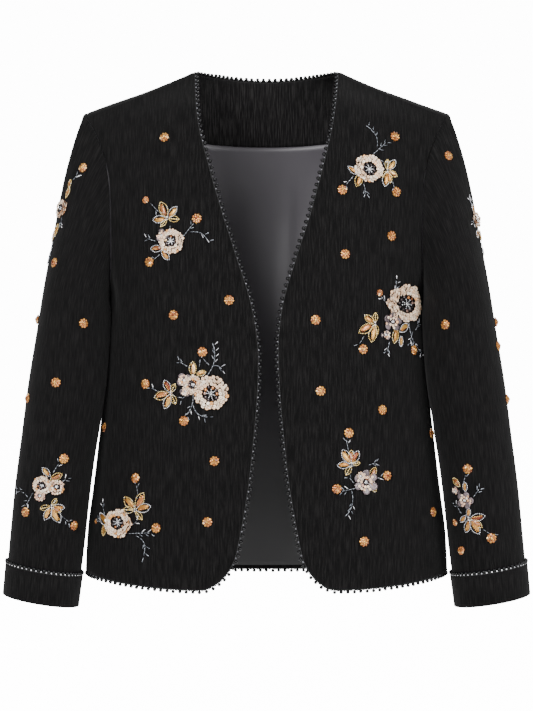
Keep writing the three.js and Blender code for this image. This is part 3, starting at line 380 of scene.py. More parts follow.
# Sprays of embroidery: name, piece, side, the middle's u and v, a width that evens out how much the cloth
# turns away there, and the motifs in mm from the middle, a to the right as seen from the front and b up.
SPRAYS = (
    ("spray_right_chest", "front", -1, (0.356, 12.25), 1.07, (
        blossom(1, -6, 14, petals=5, turn=60), blossom(-9.5, 1, 7, "mauve", 3, 100),
        cluster(-4.5, 19, ((185, 16), (115, 20), (52, 16)), ((354, 13), (233, 11))),
        leaf(-15, -13, 14, 180, "amber"), leaf(-5.5, -20, 13.5, 310), twig(-24, 36, -14.5, 26.5, 2),
        twig(12.5, -1.5, 23.5, 13, 3), twig(20, 4, 38.5, -5, 4, 2), twig(-16.5, -5, -26, -2, 3),
        twig(-11.5, -19.5, -18.5, -24.5, 2), twig(-1, 11, -1.5, 5, 0),
    )),
    ("spray_right_waist", "front", -1, (0.23, 7.45), 1.02, (
        blossom(11.7, -5.2, 19, petals=8), blossom(-8, 3, 11, petals=4, turn=20),
        blossom(-17, 8, 8, "mauve", 4, 120), blossom(-15.5, -3.5, 6.5, "mauve", 3, 200),
        cluster(-32, -6, ((117, 16), (194, 19), (248, 18)), ((297, 13), (64, 11.5))),
        leaf(-8, 20, 15.5, 90, "amber"), leaf(1, 15.5, 11, 15), twig(-44.5, -5, -54, -0.5, 2),
        twig(7.5, 13, 14.5, 44, 7, -2), twig(-1, 22, 0, 30, 1), twig(9.5, 24, 3, 31, 1),
        twig(13, 23, 22.5, 20, 3, 1), twig(-14, 22.5, -22, 27.5, 3), twig(-7.5, -7, -14, -28.5, 4, 1),
        twig(-8, -18, 7.5, -31, 4, -2), twig(-14, -7, -20, -12, 2),
    )),
    ("spray_right_hem", "front", -1, (0.548, 3.55), 1.22, (
        blossom(-2.8, -6, 16, petals=5, turn=36),
        cluster(15, 9, ((133, 18.5), (67, 21), (17, 16.8)), ((309, 12.5), (180, 13))), leaf(-21, -2, 17, 312),
        leaf(-19.5, -14, 12.5, 265), twig(17.3, 25.4, 15.3, 35.6, 2), twig(8.5, -16.3, 30.3, -14.2, 5),
        bud(-33, -5, 2.2), twig(16.7, -17.7, 25.6, -38.7, 5, 3), twig(-19.5, 3, -23.6, 13.4, 3),
        twig(-22.3, -7.4, -29, -3.3, 4), twig(11, -8, 17, -3, 2),
    )),
    ("spray_left_chest", "front", 1, (0.416, 14.63), 1.08, (
        blossom(-2.6, 1.4, 16, petals=5, turn=20),
        cluster(17, -0.5, ((50, 15.8), (330, 12), (281, 14), (259, 18)), ((83, 13), (232, 9.5))),
        leaf(-19.4, -1, 13, 321), leaf(-13.6, -10.8, 17, 247), twig(9.1, 26.3, 3.2, 48.4, 5, -2),
        twig(1.5, 15.3, 18.9, 30.9, 5), twig(-19.4, -7.4, -27.5, -16.7, 2), twig(-8.9, -15.5, -7.2, -25.9, 4),
        twig(22, -12, 24, -19, 2), twig(9, 12, 14, 9, 2),
    )),
    ("spray_left_middle", "front", 1, (0.62, 9.47), 1.35, (
        blossom(5.4, 7.2, 21, petals=9, swell=1.18), blossom(-11.9, -13, 10.5, "mauve", 5, 10),
        blossom(-18.5, -27, 5.5, "mauve", 3, 60),
        cluster(-28, -15, ((133, 12.5), (217, 16), (262, 20)), ((87, 12), (283, 11))), leaf(1, -19.5, 14, 34),
        leaf(-8.6, -27.5, 17, 262), leaf(-2.5, -33.5, 12, 268), twig(-14.5, 2.6, -22.3, 13.6, 3),
        twig(-17, 10.4, -7.4, 30.5, 6, -2), twig(7.6, -13.6, 25.8, -46.7, 6, -3),
        twig(12.7, -23.3, 8.9, -34.3, 3), twig(17.3, -21.4, 23.1, -14.9, 4), twig(-36.5, -28, -40, -36, 1),
        twig(-14.5, -34.3, -16.4, -44.7, 4),
    )),
    ("spray_left_waist", "front", 1, (0.307, 5.37), 1.05, (
        blossom(3.5, -9.5, 13.5, "mauve", 6, 30), blossom(-2, -3, 5, petals=3, turn=90),
        cluster(-11.3, 9, ((120, 19), (90, 16), (63, 17), (182, 15)), ((15, 9.5), (241, 12.5))),
        leaf(11.2, 0, 14, 61, "amber"), leaf(11.2, -13.4, 14.5, 290, "amber"),
        twig(-14.4, 24.4, -16.2, 35.3, 3), twig(-6.5, -15.8, -21.7, -18.6, 5),
        twig(-11.3, -18.3, -15.6, -42.6, 6, 1.5), twig(13, -6, 19, -5, 2), twig(6.9, 8.5, 14.2, 10.8, 4),
        twig(-8.9, -10.4, -13.2, -4.9, 2),
    )),
    ("spray_right_sleeve_top", "sleeve", -1, (0.048, 3.1), 1.25, (
        blossom(-1.5, 0, 10.5, petals=5), leaf(2.8, 28, 10, 95, "amber"), leaf(3, 18, 12, 78, "amber"),
        leaf(-3, -24, 14, 82), leaf(-9, -29, 14, 75, "amber"), twig(6, 32, 10, 37, 3), twig(2, -9, 4, -18, 4),
        twig(-6, -36, -10, -56, 7, 1), bud(3, -4, 2),
    )),
    ("spray_right_sleeve_foot", "sleeve", -1, (0.257, 10.83), 1, (
        blossom(-8.3, 4.8, 10.5, petals=5, turn=40), blossom(5.9, 2.6, 8.5, "blush", 5),
        blossom(-10.6, -7, 6, "blush", 3, 250), leaf(-4, 18.6, 12.5, 129), leaf(5.9, 13.6, 14, 26, "amber"),
        cluster(1, -17.8, ((350, 14), (327, 12), (295, 20), (244, 16.5)), ((58, 10), (193, 12.5))),
        twig(2.7, 18, 8.4, 27.4, 2), twig(-18.8, -4, -27.1, -19.4, 4), twig(-24.3, -9.5, -36.5, -5, 4, -1.5),
        twig(10.9, -28.3, 18.7, -35.4, 3), twig(11.4, 7.6, 15.9, 10.8, 3),
    )),
    ("spray_left_sleeve_top", "sleeve", 1, (0.025, 3.55), 1.25, (
        blossom(0, 2, 9.5, petals=5), leaf(-2, 13.5, 11, 95), leaf(4.5, -15, 13, 85, "amber"),
        leaf(-5.5, -14, 10, 240), twig(-2.8, 17.4, -5.2, 24, 3), twig(2, -23, 4, -32, 5),
        twig(-5, 4, -9, -2, 3),
    )),
    ("spray_left_sleeve_foot", "sleeve", 1, (0.324, 11.24), 1.15, (
        blossom(-2.9, 6.7, 9.5, "mauve", 5), blossom(-12, 17, 5, "mauve", 3, 90),
        leaf(-11.5, 25.5, 12, 130, "amber"), leaf(-2.3, 21.2, 11, 90), leaf(0, -6.5, 10, 80),
        leaf(-6, -13.4, 10, 230), cluster(0.5, -12.9, ((12, 15), (322, 15), (300, 19), (255, 16)), ()),
        twig(-4.4, 24.4, -1.2, 34.1, 2), twig(-7.7, -8, -14.1, 1.7, 4), twig(5.3, 10.4, 10.7, 19, 4),
        twig(12.9, -24.2, 21.5, -31.8, 3), bud(-9.2, -46.9, 2.6),
    )),
)


# Small steps of u and of v, between which the cloth's slope is measured.
NEAR_U = 0.004
NEAR_V = 0.04
SEAM_DEPTH = 0.0007
UNDERARM_SEAM = 0.0002
SEAM_WIDTH = 0.0022
HEAD_PUFF = 0.0009
TROUGH_TAIL = 0.2
RIDGE_SHARE = 0.45
RIDGE_OFF = 1.8
RIPPLE = 0.0004


def smooth_step(low, high, value):
    """0 below low and 1 above high, with a smooth rise between them."""
    t = clamp((value - low) / (high - low), 0, 1)
    return t * t * (3 - 2 * t)


def seam_dip(distance, depth=SEAM_DEPTH):
    """How far the cloth draws in near a seam."""
    return depth * math.exp(-(distance / SEAM_WIDTH) ** 2)


def troughs(piece, side, u, v):
    """How far the listed troughs press the cloth in at one place, each with a soft ridge beside it."""
    span_u, span_v = SPANS[piece]
    here = Vector((u * span_u, v * span_v))
    total = 0.0
    for crease in CREASES[piece, side]:
        start = Vector((crease["u0"] * span_u, crease["v0"] * span_v))
        line = Vector((crease["u1"] * span_u, crease["v1"] * span_v)) - start
        share = (here - start).dot(line) / line.length_squared
        if not -TROUGH_TAIL < share < 1 + TROUGH_TAIL:
            continue
        fade = math.sin(math.pi * (share + TROUGH_TAIL) / (1 + 2 * TROUGH_TAIL))
        away = here - start
        off = (away.x * line.y - away.y * line.x) / line.length / crease["width"]
        ridge = RIDGE_SHARE * math.exp(-(off - RIDGE_OFF) ** 2)
        total += crease["depth"] * fade * (math.exp(-off * off) - ridge)
    return total


def drawn_in(piece, side, u, v):
    """How far the cloth lies inside its plain surface: troughs, seams and a slight unevenness."""
    depth = troughs(piece, side, u, v)
    depth += RIPPLE * math.sin(11 * u + 0.9 * v) * math.sin(1.3 * v - 5 * u + 1)
    side_seam = mix(UNDERARM_SEAM, SEAM_DEPTH, smooth_step(9.5, 12, v))
    if piece == "front":
        depth += seam_dip((1 - u) * SPANS["front"][0], side_seam)
        depth += seam_dip((FRONT_SEAM_ROW - v) * SPANS["front"][1])
    elif piece == "back":
        depth += seam_dip((1 - abs(u)) * SPANS["back"][0], side_seam)
        if abs(u) > NECK_SHARE:
            depth += seam_dip((BACK_SEAM_ROW - v) * 0.018)
    else:
        down = v * SPANS["sleeve"][1]
        depth += seam_dip(down) - HEAD_PUFF * math.exp(-((down - 0.010) / 0.007) ** 2)
    return depth


def plain_surface(piece, side):
    """A piece's surface as a function of u and v, and which way its faces turn."""
    if piece == "front":
        return lambda u, v: front_point(side, u, v), side
    if piece == "back":
        return back_point, -1
    return lambda u, v: sleeve_point(side, u, v), side


def cloth_at(piece, side, u, v):
    """A point of the finished cloth with its outward normal."""
    at, turn = plain_surface(piece, side)
    across = at(u + NEAR_U, v) - at(u - NEAR_U, v)
    up = at(u, v + NEAR_V) - at(u, v - NEAR_V)
    normal = (across.cross(up) * turn).normalized()
    return at(u, v) - normal * drawn_in(piece, side, u, v), normal


def crowded(share, amount=0.78):
    """Shares of a side, closer together near its two ends, where the seams are."""
    return share - amount * math.sin(2 * math.pi * share) / (2 * math.pi)


def new_piece(name, form, looks, node):
    """A finished form as an object of the jacket that stands for a node."""
    mesh = bpy.data.meshes.new(name)
    form.to_mesh(mesh)
    form.free()
    piece = bpy.data.objects.new(name, mesh)
    bpy.context.scene.collection.objects.link(piece)
    for look in looks:
        mesh.materials.append(finish_named(look))
    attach(piece, ROOT)
    if node:
        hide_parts(node)
    return piece


def cloth_form(place, columns, rows, grain, flip, inward=None, tube=False):
    """A grid whose points are laid on a surface, drawn in by its folds, with its grain as a UV map."""
    form = bmesh.new()
    bmesh.ops.create_grid(form, x_segments=columns, y_segments=rows, size=0.5)
    shares = [(vert.co.x + 0.5, vert.co.y + 0.5) for vert in form.verts]
    threads = form.loops.layers.uv.new("grain")
    for vert, (s, t) in zip(form.verts, shares):
        vert.co = place(s, t)
        for loop in vert.link_loops:
            loop[threads].uv = grain(vert.co, s)
    if flip:
        bmesh.ops.reverse_faces(form, faces=form.faces)
    form.normal_update()
    if inward:
        moves = [vert.normal * -inward(s, t) for vert, (s, t) in zip(form.verts, shares)]
        for vert, move in zip(form.verts, moves):
            vert.co += move
    if tube:
        bmesh.ops.remove_doubles(form, verts=form.verts, dist=0.0003)
    for face in form.faces:
        face.smooth = True
    return form


def cloth_piece(name, form, looks, node, thickness, inside=0):
    """A sheet with its wall turned inwards; inside counts the slots from an outer look to its inner one."""
    piece = new_piece("cloth_" + name, form, looks, node)
    wall = piece.modifiers.new("wall", "SOLIDIFY")
    wall.thickness = thickness
    wall.offset = -1
    wall.material_offset = inside
    return piece


class Ground:
    """The cloth round one spot of a piece, so that flat metres can be laid on it."""

    STEP = 0.006

    def __init__(self, piece, side, spot, reach):
        self.low = reach[:2]
        counts = [int(math.ceil((reach[k + 2] - reach[k]) / self.STEP)) + 2 for k in (0, 1)]
        at, _ = plain_surface(piece, side)
        origin, out = cloth_at(piece, side, *spot)
        up = (Vector((0, 0, 1)) - out * out.z).normalized()
        right = up.cross(out)

        def flat(du, dv):
            away = at(du, dv) - origin
            return away.dot(right), away.dot(up)

        self.points = np.zeros((*counts, 3))
        self.normals = np.zeros((*counts, 3))
        mid = [int(round(-self.low[k] / self.STEP)) for k in (0, 1)]
        found = {}
        outwards = sorted(np.ndindex(*counts), key=lambda at: abs(at[0] - mid[0]) + abs(at[1] - mid[1]))
        for i, j in outwards:
            if i != mid[0]:
                before = (i - 1 if i > mid[0] else i + 1, j)
            else:
                before = (i, j - 1 if j > mid[1] else j + 1)
            goal = (self.low[0] + i * self.STEP, self.low[1] + j * self.STEP)
            found[i, j] = self.solve(flat, found.get(before, spot), goal)
            self.points[i, j], self.normals[i, j] = cloth_at(piece, side, *found[i, j])

    @staticmethod
    def solve(flat, start, goal):
        """The u and v whose flat place is the goal, or the start where the cloth turns out of sight."""
        u, v = start
        sense = 0
        for _ in range(5):
            a, b = flat(u, v)
            a_u, b_u = flat(u + 0.002, v)
            a_v, b_v = flat(u, v + 0.02)
            a_u, b_u, a_v, b_v = (a_u - a) / 0.002, (b_u - b) / 0.002, (a_v - a) / 0.02, (b_v - b) / 0.02
            scale = a_u * b_v - a_v * b_u
            if scale * sense < 0 or abs(scale) < abs(sense) * 0.05:
                return start
            sense = sense or scale
            off_a, off_b = goal[0] - a, goal[1] - b
            u += clamp((off_a * b_v - off_b * a_v) / scale, -0.08, 0.08)
            v += clamp((off_b * a_u - off_a * b_u) / scale, -0.6, 0.6)
        return u, v

    def spot(self, a, b):
        """The point and the normal at a flat place."""
        x = clamp((a - self.low[0]) / self.STEP, 0, self.points.shape[0] - 1.001)
        y = clamp((b - self.low[1]) / self.STEP, 0, self.points.shape[1] - 1.001)
        i, j = int(x), int(y)
        s, t = x - i, y - j
        shares = (
            (i, j, (1 - s) * (1 - t)), (i + 1, j, s * (1 - t)),
            (i, j + 1, (1 - s) * t), (i + 1, j + 1, s * t),
        )
        point = sum(self.points[p, q] * w for p, q, w in shares)
        normal = sum(self.normals[p, q] * w for p, q, w in shares)
        return Vector(point), Vector(normal).normalized()

    def stand(self, a, b, turn=0.0, lift=0.0, tilt=0.0, tilt_to=0.0):
        """The frame of something on the cloth: x along its turn, z off the cloth, tilted towards tilt_to."""
        point, normal = self.spot(a, b)
        da, db = 0.001 * math.cos(turn), 0.001 * math.sin(turn)
        along = self.spot(a + da, b + db)[0] - self.spot(a - da, b - db)[0]
        along = (along - normal * along.dot(normal)).normalized()
        turned = Matrix((along, normal.cross(along), normal)).transposed()
        if tilt:
            axis = Vector((-math.sin(tilt_to - turn), math.cos(tilt_to - turn), 0))
            turned = turned @ Matrix.Rotation(tilt, 3, axis)
        return point + normal * lift, turned


def small_form(name, make, smooth):
    """A small form of a few faces, made once, whose copies are gathered into the pieces."""
    form = bmesh.new()
    form.verts.layers.float.new("rim")
    make(form)
    for face in form.faces:
        face.smooth = smooth
    mesh = bpy.data.meshes.new("form_" + name)
    form.to_mesh(mesh)
    form.free()
    mesh.attributes.new("tone", "FLOAT", "POINT")
    points = np.zeros(len(mesh.vertices) * 3)
    mesh.vertices.foreach_get("co", points)
    return mesh, points.reshape(-1, 3)


def make_sequin(form):
    """A thin cupped disc of radius 1, with a small hole's dimple in its middle."""
    bmesh.ops.create_cone(form, cap_ends=True, segments=9, radius1=0.96, radius2=1.0, depth=0.14)
    # Rim value 1 paints shade round the disc's edge, 0 leaves its face plain, and 0.8 darkens the dimple
    # where the hole is.
    rim = form.verts.layers.float["rim"]
    for vert in form.verts:
        vert[rim] = 1.0
    top = max(form.faces, key=lambda face: face.calc_center_median().z)
    bmesh.ops.inset_individual(form, faces=[top], thickness=0.34)
    for vert in top.verts:
        vert[rim] = 0.0
        vert.co.z += 0.08
    hole = bmesh.ops.poke(form, faces=[top], offset=-0.30)["verts"][0]
    hole[rim] = 0.8


def make_bugle(form):
    """A straight tube bead along x, from -1 to 1, with a radius of 1."""
    bmesh.ops.create_cone(form, cap_ends=True, segments=6, radius1=1.0, radius2=1.0, depth=2.0)
    bmesh.ops.rotate(form, verts=form.verts, matrix=Matrix.Rotation(math.pi / 2, 3, "Y"))


def make_bead(form, fineness=2):
    """A round bead of radius 1."""
    bmesh.ops.create_icosphere(form, subdivisions=fineness, radius=1.0)


def make_faceted_bead(form):
    """A cut bead of radius 1 whose girdle and table are flat facets."""
    bmesh.ops.create_uvsphere(form, u_segments=7, v_segments=4, radius=1.0)
    for vert in form.verts:
        vert.co.z *= 0.72


def make_leaf_dome(form):
    """A pointed low dome, 2 long and 2 wide, with a channel down its middle."""
    bmesh.ops.create_uvsphere(form, u_segments=16, v_segments=6, radius=1.0)
    rim = form.verts.layers.float["rim"]
    for vert in form.verts:
        vert.co.y *= math.sqrt(max(1 - vert.co.x ** 2, 0))
        vert[rim] = clamp(-vert.co.x, 0, 1)
        vert.co.z -= 0.35 * math.exp(-(vert.co.y / 0.16) ** 2) * max(vert.co.z, 0)


def make_petal(form):
    """A cut petal, 2 long and 2 wide, wider at its outer end and cupped."""
    bmesh.ops.create_uvsphere(form, u_segments=12, v_segments=5, radius=1.0)
    for vert in form.verts:
        vert.co.y *= 0.78 + 0.22 * vert.co.x
        vert.co.z = 0.12 * vert.co.z + 0.22 * (vert.co.x ** 2 + vert.co.y ** 2)


SMALL_FORMS = {
    "sequin": (make_sequin, True), "bugle": (make_bugle, True), "round": (make_bead, True),
    "seed": (lambda form: make_bead(form, 1), True), "facet": (make_faceted_bead, False),
    "dome": (make_leaf_dome, True),
    "petal": (make_petal, True),
}


class Beadwork:
    """Gathers copies of the small forms into one piece, each with its look and tone."""

    def __init__(self, seed):
        self.form = bmesh.new()
        self.looks = []
        self.draw = random.Random(seed)
        self.forms = {}

    def add(self, shape, stand, size, look, tone=None):
        """Sets one copy down: stand is a point with a frame, size its three half-sizes in metres."""
        if shape not in self.forms:
            make, smooth = SMALL_FORMS[shape]
            self.forms[shape] = small_form(shape, make, smooth)
        if look not in self.looks:
            self.looks.append(look)
        mesh, points = self.forms[shape]
        point, turned = stand
        sizes = size if hasattr(size, "__len__") else (size, size, size)
        moved = (points * sizes) @ np.array(turned.transposed()) + np.array(point)
        mesh.vertices.foreach_set("co", moved.ravel())
        mesh.polygons.foreach_set("material_index", [self.looks.index(look)] * len(mesh.polygons))
        value = self.draw.random() if tone is None else tone
        mesh.attributes["tone"].data.foreach_set("value", [value] * len(mesh.vertices))
        self.form.from_mesh(mesh)

    def finish(self, name, node, slot):
        """The gathered copies as one piece."""
        for mesh, _ in self.forms.values():
            bpy.data.meshes.remove(mesh)
        return new_piece(name, self.form, self.looks, node)


BODY_HALF = 0.205
BODY_GRAIN = 0.17
SLEEVE_LEAN = 0.05
# Widths of the shell cloth behind a front's open edge and above its hem.
TURNED_IN = 0.045
TURNED_UP = 0.035
BACK_WALL = 0.002
THIN_WALL = 0.001
CUFF_TOP = SLEEVE_RINGS_IN_ALL - 1
CUFF_LENGTH = 0.039
CUFF_OUT = 0.0023
CUFF_FOLD = 0.00215
CUFF_OUTSIDE = 0.6
CORD_STEP = 0.0022
PICOT_WANDER = 0.00025
PICOT_OUT = 0.00275
VEIN_STEP = 0.0021
TUBE_STEP = 0.0040
TOP_DROP = 0.0001
LINING_FOLDS = table("u width depth", (
    (-0.62, 0.050, 0.0016), (-0.31, 0.036, 0.0012), (-0.13, 0.028, 0.0008), (0.09, 0.030, 0.0010),
    (0.27, 0.034, 0.0013), (0.48, 0.046, 0.0011), (0.74, 0.050, 0.0016),
))


def grain_body(point, s):
    """The grain of the body's cloth runs straight down whatever its seams do."""
    return math.asin(clamp(point.x / BODY_HALF, -1, 1)) * BODY_GRAIN, point.z


def grain_sleeve(point, s):
    """The grain of a sleeve runs down the arm and leans a little."""
    return s * SPANS["sleeve"][0] + point.z * SLEEVE_LEAN, point.z


def to_end(share, amount=0.85):
    """Shares that crowd together towards 1, where the seam is."""
    return mix(share, math.sin(share * math.pi / 2), amount)


def make_front(side, name):
    """One front: shell cloth outside, satin inside, and shell cloth again behind its open edge."""
    last_u = 1 - SEAM_HALF_GAP / SPANS["front"][0]

    def spot(s, t):
        return crowded(s) * last_u, to_end(t) * (FRONT_SEAM_ROW - 0.004)

    form = cloth_form(
        lambda s, t: front_point(side, *spot(s, t)), 64, 120, grain_body, side < 0,
        lambda s, t: drawn_in("front", side, *spot(s, t)))
    for face in form.faces:
        middle = face.calc_center_median()
        near_edge = abs(middle.x) - front_edge(side, max(middle.z, HEM_FRONT)) < TURNED_IN
        face.material_index = 2 if near_edge or middle.z < HEM_FRONT + TURNED_UP else 0
    looks = ("shell cloth", "lining satin", "shell cloth", "shell cloth")
    return cloth_piece("front_" + name, form, looks, "front_" + name, sizes().wall, 1)


def make_back():
    """The whole back as one piece."""
    last_u = 1 - SEAM_HALF_GAP / SPANS["back"][0]

    def spot(s, t):
        return (2 * crowded(s) - 1) * last_u, to_end(t) * (BACK_SEAM_ROW - 0.006)

    form = cloth_form(
        lambda s, t: back_point(*spot(s, t)), 96, 110, grain_body, True,
        lambda s, t: drawn_in("back", 0, *spot(s, t)))
    return cloth_piece("back", form, ("shell cloth",), "back", sizes().wall)


def make_sleeve(side, name):
    """One set-in sleeve, which ends inside its cuff's fold."""

    def spot(s, t):
        return s, (SLEEVE_RINGS_IN_ALL - 0.10) * mix(t, 1 - math.cos(t * math.pi / 2), 0.75)

    form = cloth_form(
        lambda s, t: sleeve_point(side, *spot(s, t)), 80, 96, grain_sleeve, side < 0,
        lambda s, t: drawn_in("sleeve", side, *spot(s, t)), tube=True)
    looks = ("shell cloth", "lining satin")
    return cloth_piece("sleeve_" + name, form, looks, "sleeve_" + name, sizes().wall, 1)


def on_cuff(side, round_, ring, out):
    """A point off the sleeve's cloth near its end, with its normal."""
    point, normal = cloth_at("sleeve", side, round_, ring)
    return point + normal * out, normal


def make_cuff(side, name):
    """One turned-back cuff: it lies over the sleeve's end and folds in under it."""
    fold_ring = CUFF_TOP + 1 - CUFF_FOLD / CUFF_LENGTH

    def place(s, t):
        if t <= CUFF_OUTSIDE:
            return on_cuff(side, s, mix(CUFF_TOP, fold_ring, t / CUFF_OUTSIDE), CUFF_OUT)[0]
        angle = math.pi * (t - CUFF_OUTSIDE) / (1 - CUFF_OUTSIDE)
        ring = fold_ring + math.sin(angle) * CUFF_FOLD / CUFF_LENGTH
        return on_cuff(side, s, ring, CUFF_OUT - CUFF_FOLD + CUFF_FOLD * math.cos(angle))[0]

    form = cloth_form(place, 80, 25, grain_sleeve, side < 0, tube=True)
    return cloth_piece("cuff_" + name, form, ("shell cloth",), "cuff_" + name, 0.0018)


def inside_back(u, v, deeper):
    """A point just inside the back's wall."""
    across = back_point(clamp(u + NEAR_U, -1, 1), v) - back_point(clamp(u - NEAR_U, -1, 1), v)
    up = back_point(u, min(v + NEAR_V, BACK_SEAM_ROW)) - back_point(u, v - NEAR_V)
    return back_point(u, v) + across.cross(up).normalized() * (BACK_WALL + LAYER_GAP + deeper)


def make_facing():
    """The neck facing, in the shell cloth drawn lighter as painted light, inside the top of the back."""
    half = (NECK_STEPS + FACING_STEPS) / (NECK_STEPS + FRONT_STEPS)

    def place(s, t):
        u, v = mix(-half, half, s), mix(FACING_ROW, BACK_SEAM_ROW - 0.006, t)
        return inside_back(u, v, TOP_DROP * smooth_step(0.8, 1, t))

    form = cloth_form(place, 48, 28, grain_body, True)
    return cloth_piece("neck_facing", form, ("facing cloth",), "back_neck_facing", THIN_WALL)


def make_lining():
    """The back lining, whose soft vertical folds lean into the hollow."""

    def fold(u, v):
        depth = 0.0
        for row in LINING_FOLDS:
            off = (u - row["u"] - 0.012 * math.sin(v * 0.5 + row["u"] * 9)) / row["width"]
            depth += row["depth"] * math.exp(-off * off)
        return depth * smooth_step(0.25, 1.6, v) * (1 - smooth_step(13.5, 15.6, v))

    def place(s, t):
        u, v = mix(-0.998, 0.998, s), mix(0.25, FACING_ROW - 0.015, t)
        return inside_back(u, v, fold(u, v))

    form = cloth_form(place, 110, 72, grain_body, True)
    return cloth_piece("lining", form, ("lining satin",), "back_lining", THIN_WALL)


class Edge:
    """A line along the open edge of a cloth, measured by its length."""

    def __init__(self, places, ring=False):
        self.ring = ring
        self.rows = [(point, normal, (point - inner).normalized()) for point, normal, inner in places]
        self.lengths = [0.0]
        for a, b in zip(self.rows, self.rows[1:]):
            self.lengths.append(self.lengths[-1] + (b[0] - a[0]).length)
        self.length = self.lengths[-1]

    def stand(self, along, out):
        """The frame at a length along the edge, so far out of the cloth and just under its surface."""
        along = along % self.length if self.ring else clamp(along, 0, self.length)
        index = int(np.searchsorted(self.lengths, along, side="right")) - 1
        index = int(clamp(index, 0, len(self.rows) - 2))
        t = (along - self.lengths[index]) / (self.lengths[index + 1] - self.lengths[index])
        point, normal, away = (a.lerp(b, t) for a, b in zip(self.rows[index], self.rows[index + 1]))
        way = (self.rows[index + 1][0] - self.rows[index][0]).normalized()
        normal = (normal - way * normal.dot(way)).normalized()
        away = (away - way * away.dot(way) - normal * away.dot(normal)).normalized()
        return point + away * out - normal * 0.001, Matrix((way, away, normal)).transposed()


def edge_beads(name, edge, pitch, seed, node, small="silver bead"):
    """The picot edging of an edge: jet beads on short stalks, small beads and a cord along the cloth."""
    beads = Beadwork(seed)
    large = sizes().bead
    count = max(int(round(edge.length / pitch)), 2)
    step = edge.length / count
    for i in range(count):
        middle = (i + 0.5) * step
        wander = beads.draw.uniform(-PICOT_WANDER, PICOT_WANDER)
        beads.add("round", edge.stand(middle + wander, PICOT_OUT + wander), large, "jet")
        beads.add("seed", edge.stand(middle, 0.0008), 0.0009, "jet")
        beads.add("round", edge.stand(middle + step / 2, 0.0012), 0.001, small)
        for way in (-1, 1):
            beads.add("seed", edge.stand(middle + way * step * 0.27, 0.0010), 0.0008, "jet")
    cord_count = int(edge.length / CORD_STEP)
    for i in range(cord_count):
        along = (i + 0.5) * edge.length / cord_count
        beads.add("bugle", edge.stand(along, 0.0003), (0.0012, 0.0007, 0.0007), "black cord")
    return beads.finish("edging_" + name, node, "jet_edging")


def edge_of(piece, side, places):
    """The edge through some places of a piece, each with a place further in."""
    point_at = plain_surface(piece, side)[0]
    return Edge([(*cloth_at(piece, side, *place), point_at(*inner)) for place, inner in places])


def front_edges(side):
    """A front's edge from the shoulder down its opening and round to the side seam."""
    heights = [FRONT_SEAM_ROW * (1 - i / 699) for i in range(700)]
    shares = [i / 239 for i in range(1, 240)]
    places = [((0, v), (0.02, v)) for v in heights] + [((u, 0), (u, 0.2)) for u in shares]
    return edge_of("front", side, places)


def back_edge(row, inner_row, reach):
    """The back's hem, or its edge at the neck."""
    shares = [mix(-reach, reach, i / 319) for i in range(320)]
    return edge_of("back", 0, [((u, row), (u, inner_row)) for u in shares])


def cuff_edge(side):
    """The top edge of a cuff."""
    shares = [i / 240 for i in range(241)]
    return Edge([
        (*on_cuff(side, share, CUFF_TOP, CUFF_OUT), on_cuff(side, share, CUFF_TOP + 0.2, CUFF_OUT)[0])
        for share in shares], ring=True)


def round_from(a, b, out, angle, wide=1.0):
    """The flat place at a distance and an angle from another."""
    return a + out * math.cos(angle) * wide, b + out * math.sin(angle)


def add_rosette(beads, ground, a, b, radius):
    """A round group of cut beads, domed over its middle."""
    bead = radius * 0.27
    rare = radius < ROSETTE * 0.9
    base = (radius * 0.84, radius * 0.84, radius * 0.25)
    beads.add("round", ground.stand(a, b, 0, 0.0007), base, "amber cut", 0.5)
    for ring, (count, out, lift) in enumerate(((9, 0.72, 0.75), (5, 0.38, 1.45), (1, 0, 2.0))):
        turn = beads.draw.uniform(0, 6.28)
        for i in range(count):
            angle = turn + 2 * math.pi * i / count
            place = round_from(a, b, out * radius, angle)
            stand = ground.stand(*place, angle, bead * lift, 0.25, angle)
            if ring == 2:
                look = "gold cut"
            else:
                look = "amber cut" if rare or beads.draw.random() < 0.3 else "warm cut"
            beads.add("facet", stand, bead * beads.draw.uniform(0.94, 1.1), look)


def make_rosettes(piece, side, name):
    """All the lone rosettes of one piece."""
    beads = Beadwork(40 + side)
    for place in ROSETTES[piece, side]:
        ground = Ground(piece, side, place[:2], (-0.007, -0.007, 0.007, 0.007))
        add_rosette(beads, ground, 0, 0, place[2] if len(place) > 2 else ROSETTE)
    return beads.finish("rosettes_" + piece + "_" + name, None, "embroidery_beadwork")


def add_cream_blossom(beads, ground, motif):
    """Rings of overlapping cupped sequins round cut dark beads and silver seeds."""
    a, b, radius, wide = motif["a"], motif["b"], motif["size"], motif["wide"]
    draw = beads.draw
    sequin = clamp(radius * 0.125, 0.0014, 0.0022)
    inner = radius * 0.56
    rings = max(int(round((radius - inner) * max(wide, 1) ** 0.5 / (sequin * 1.2))), 2)
    middle = round_from(a, b, 0.06 * radius, draw.uniform(0, 6.28), wide)
    for ring in range(rings):
        share = ring / (rings - 1)
        out = mix(radius - sequin, inner, share)
        centre = middle[0] * share + a * (1 - share), middle[1] * share + b * (1 - share)
        count = int(2 * math.pi * out * wide / (sequin * 1.75))
        for i in range(count):
            angle = 2 * math.pi * (i + 0.5 * (ring % 2) + draw.uniform(-0.12, 0.12)) / count
            petal = abs(math.cos((angle - math.radians(motif["turn"])) * motif["petals"] / 2))
            at = out * (1 - 0.12 * petal ** 6 * (1 - ring / rings)) + draw.uniform(-0.0005, 0.0005)
            lift = 0.0010 + 0.0012 * share + 0.0006 * petal + draw.uniform(0, 0.0011)
            place = round_from(*centre, at, angle, wide)
            tilt, way = draw.uniform(-0.75, 0.1), angle + draw.uniform(-0.9, 0.9)
            stand = ground.stand(*place, angle, lift, tilt, way)
            look = "blush" if motif["tone"] == "blush" and draw.random() < 0.6 else "cream"
            beads.add("sequin", stand, sequin * draw.uniform(0.9, 1.12), look)
    add_heart(beads, ground, middle, radius * 0.45, wide)


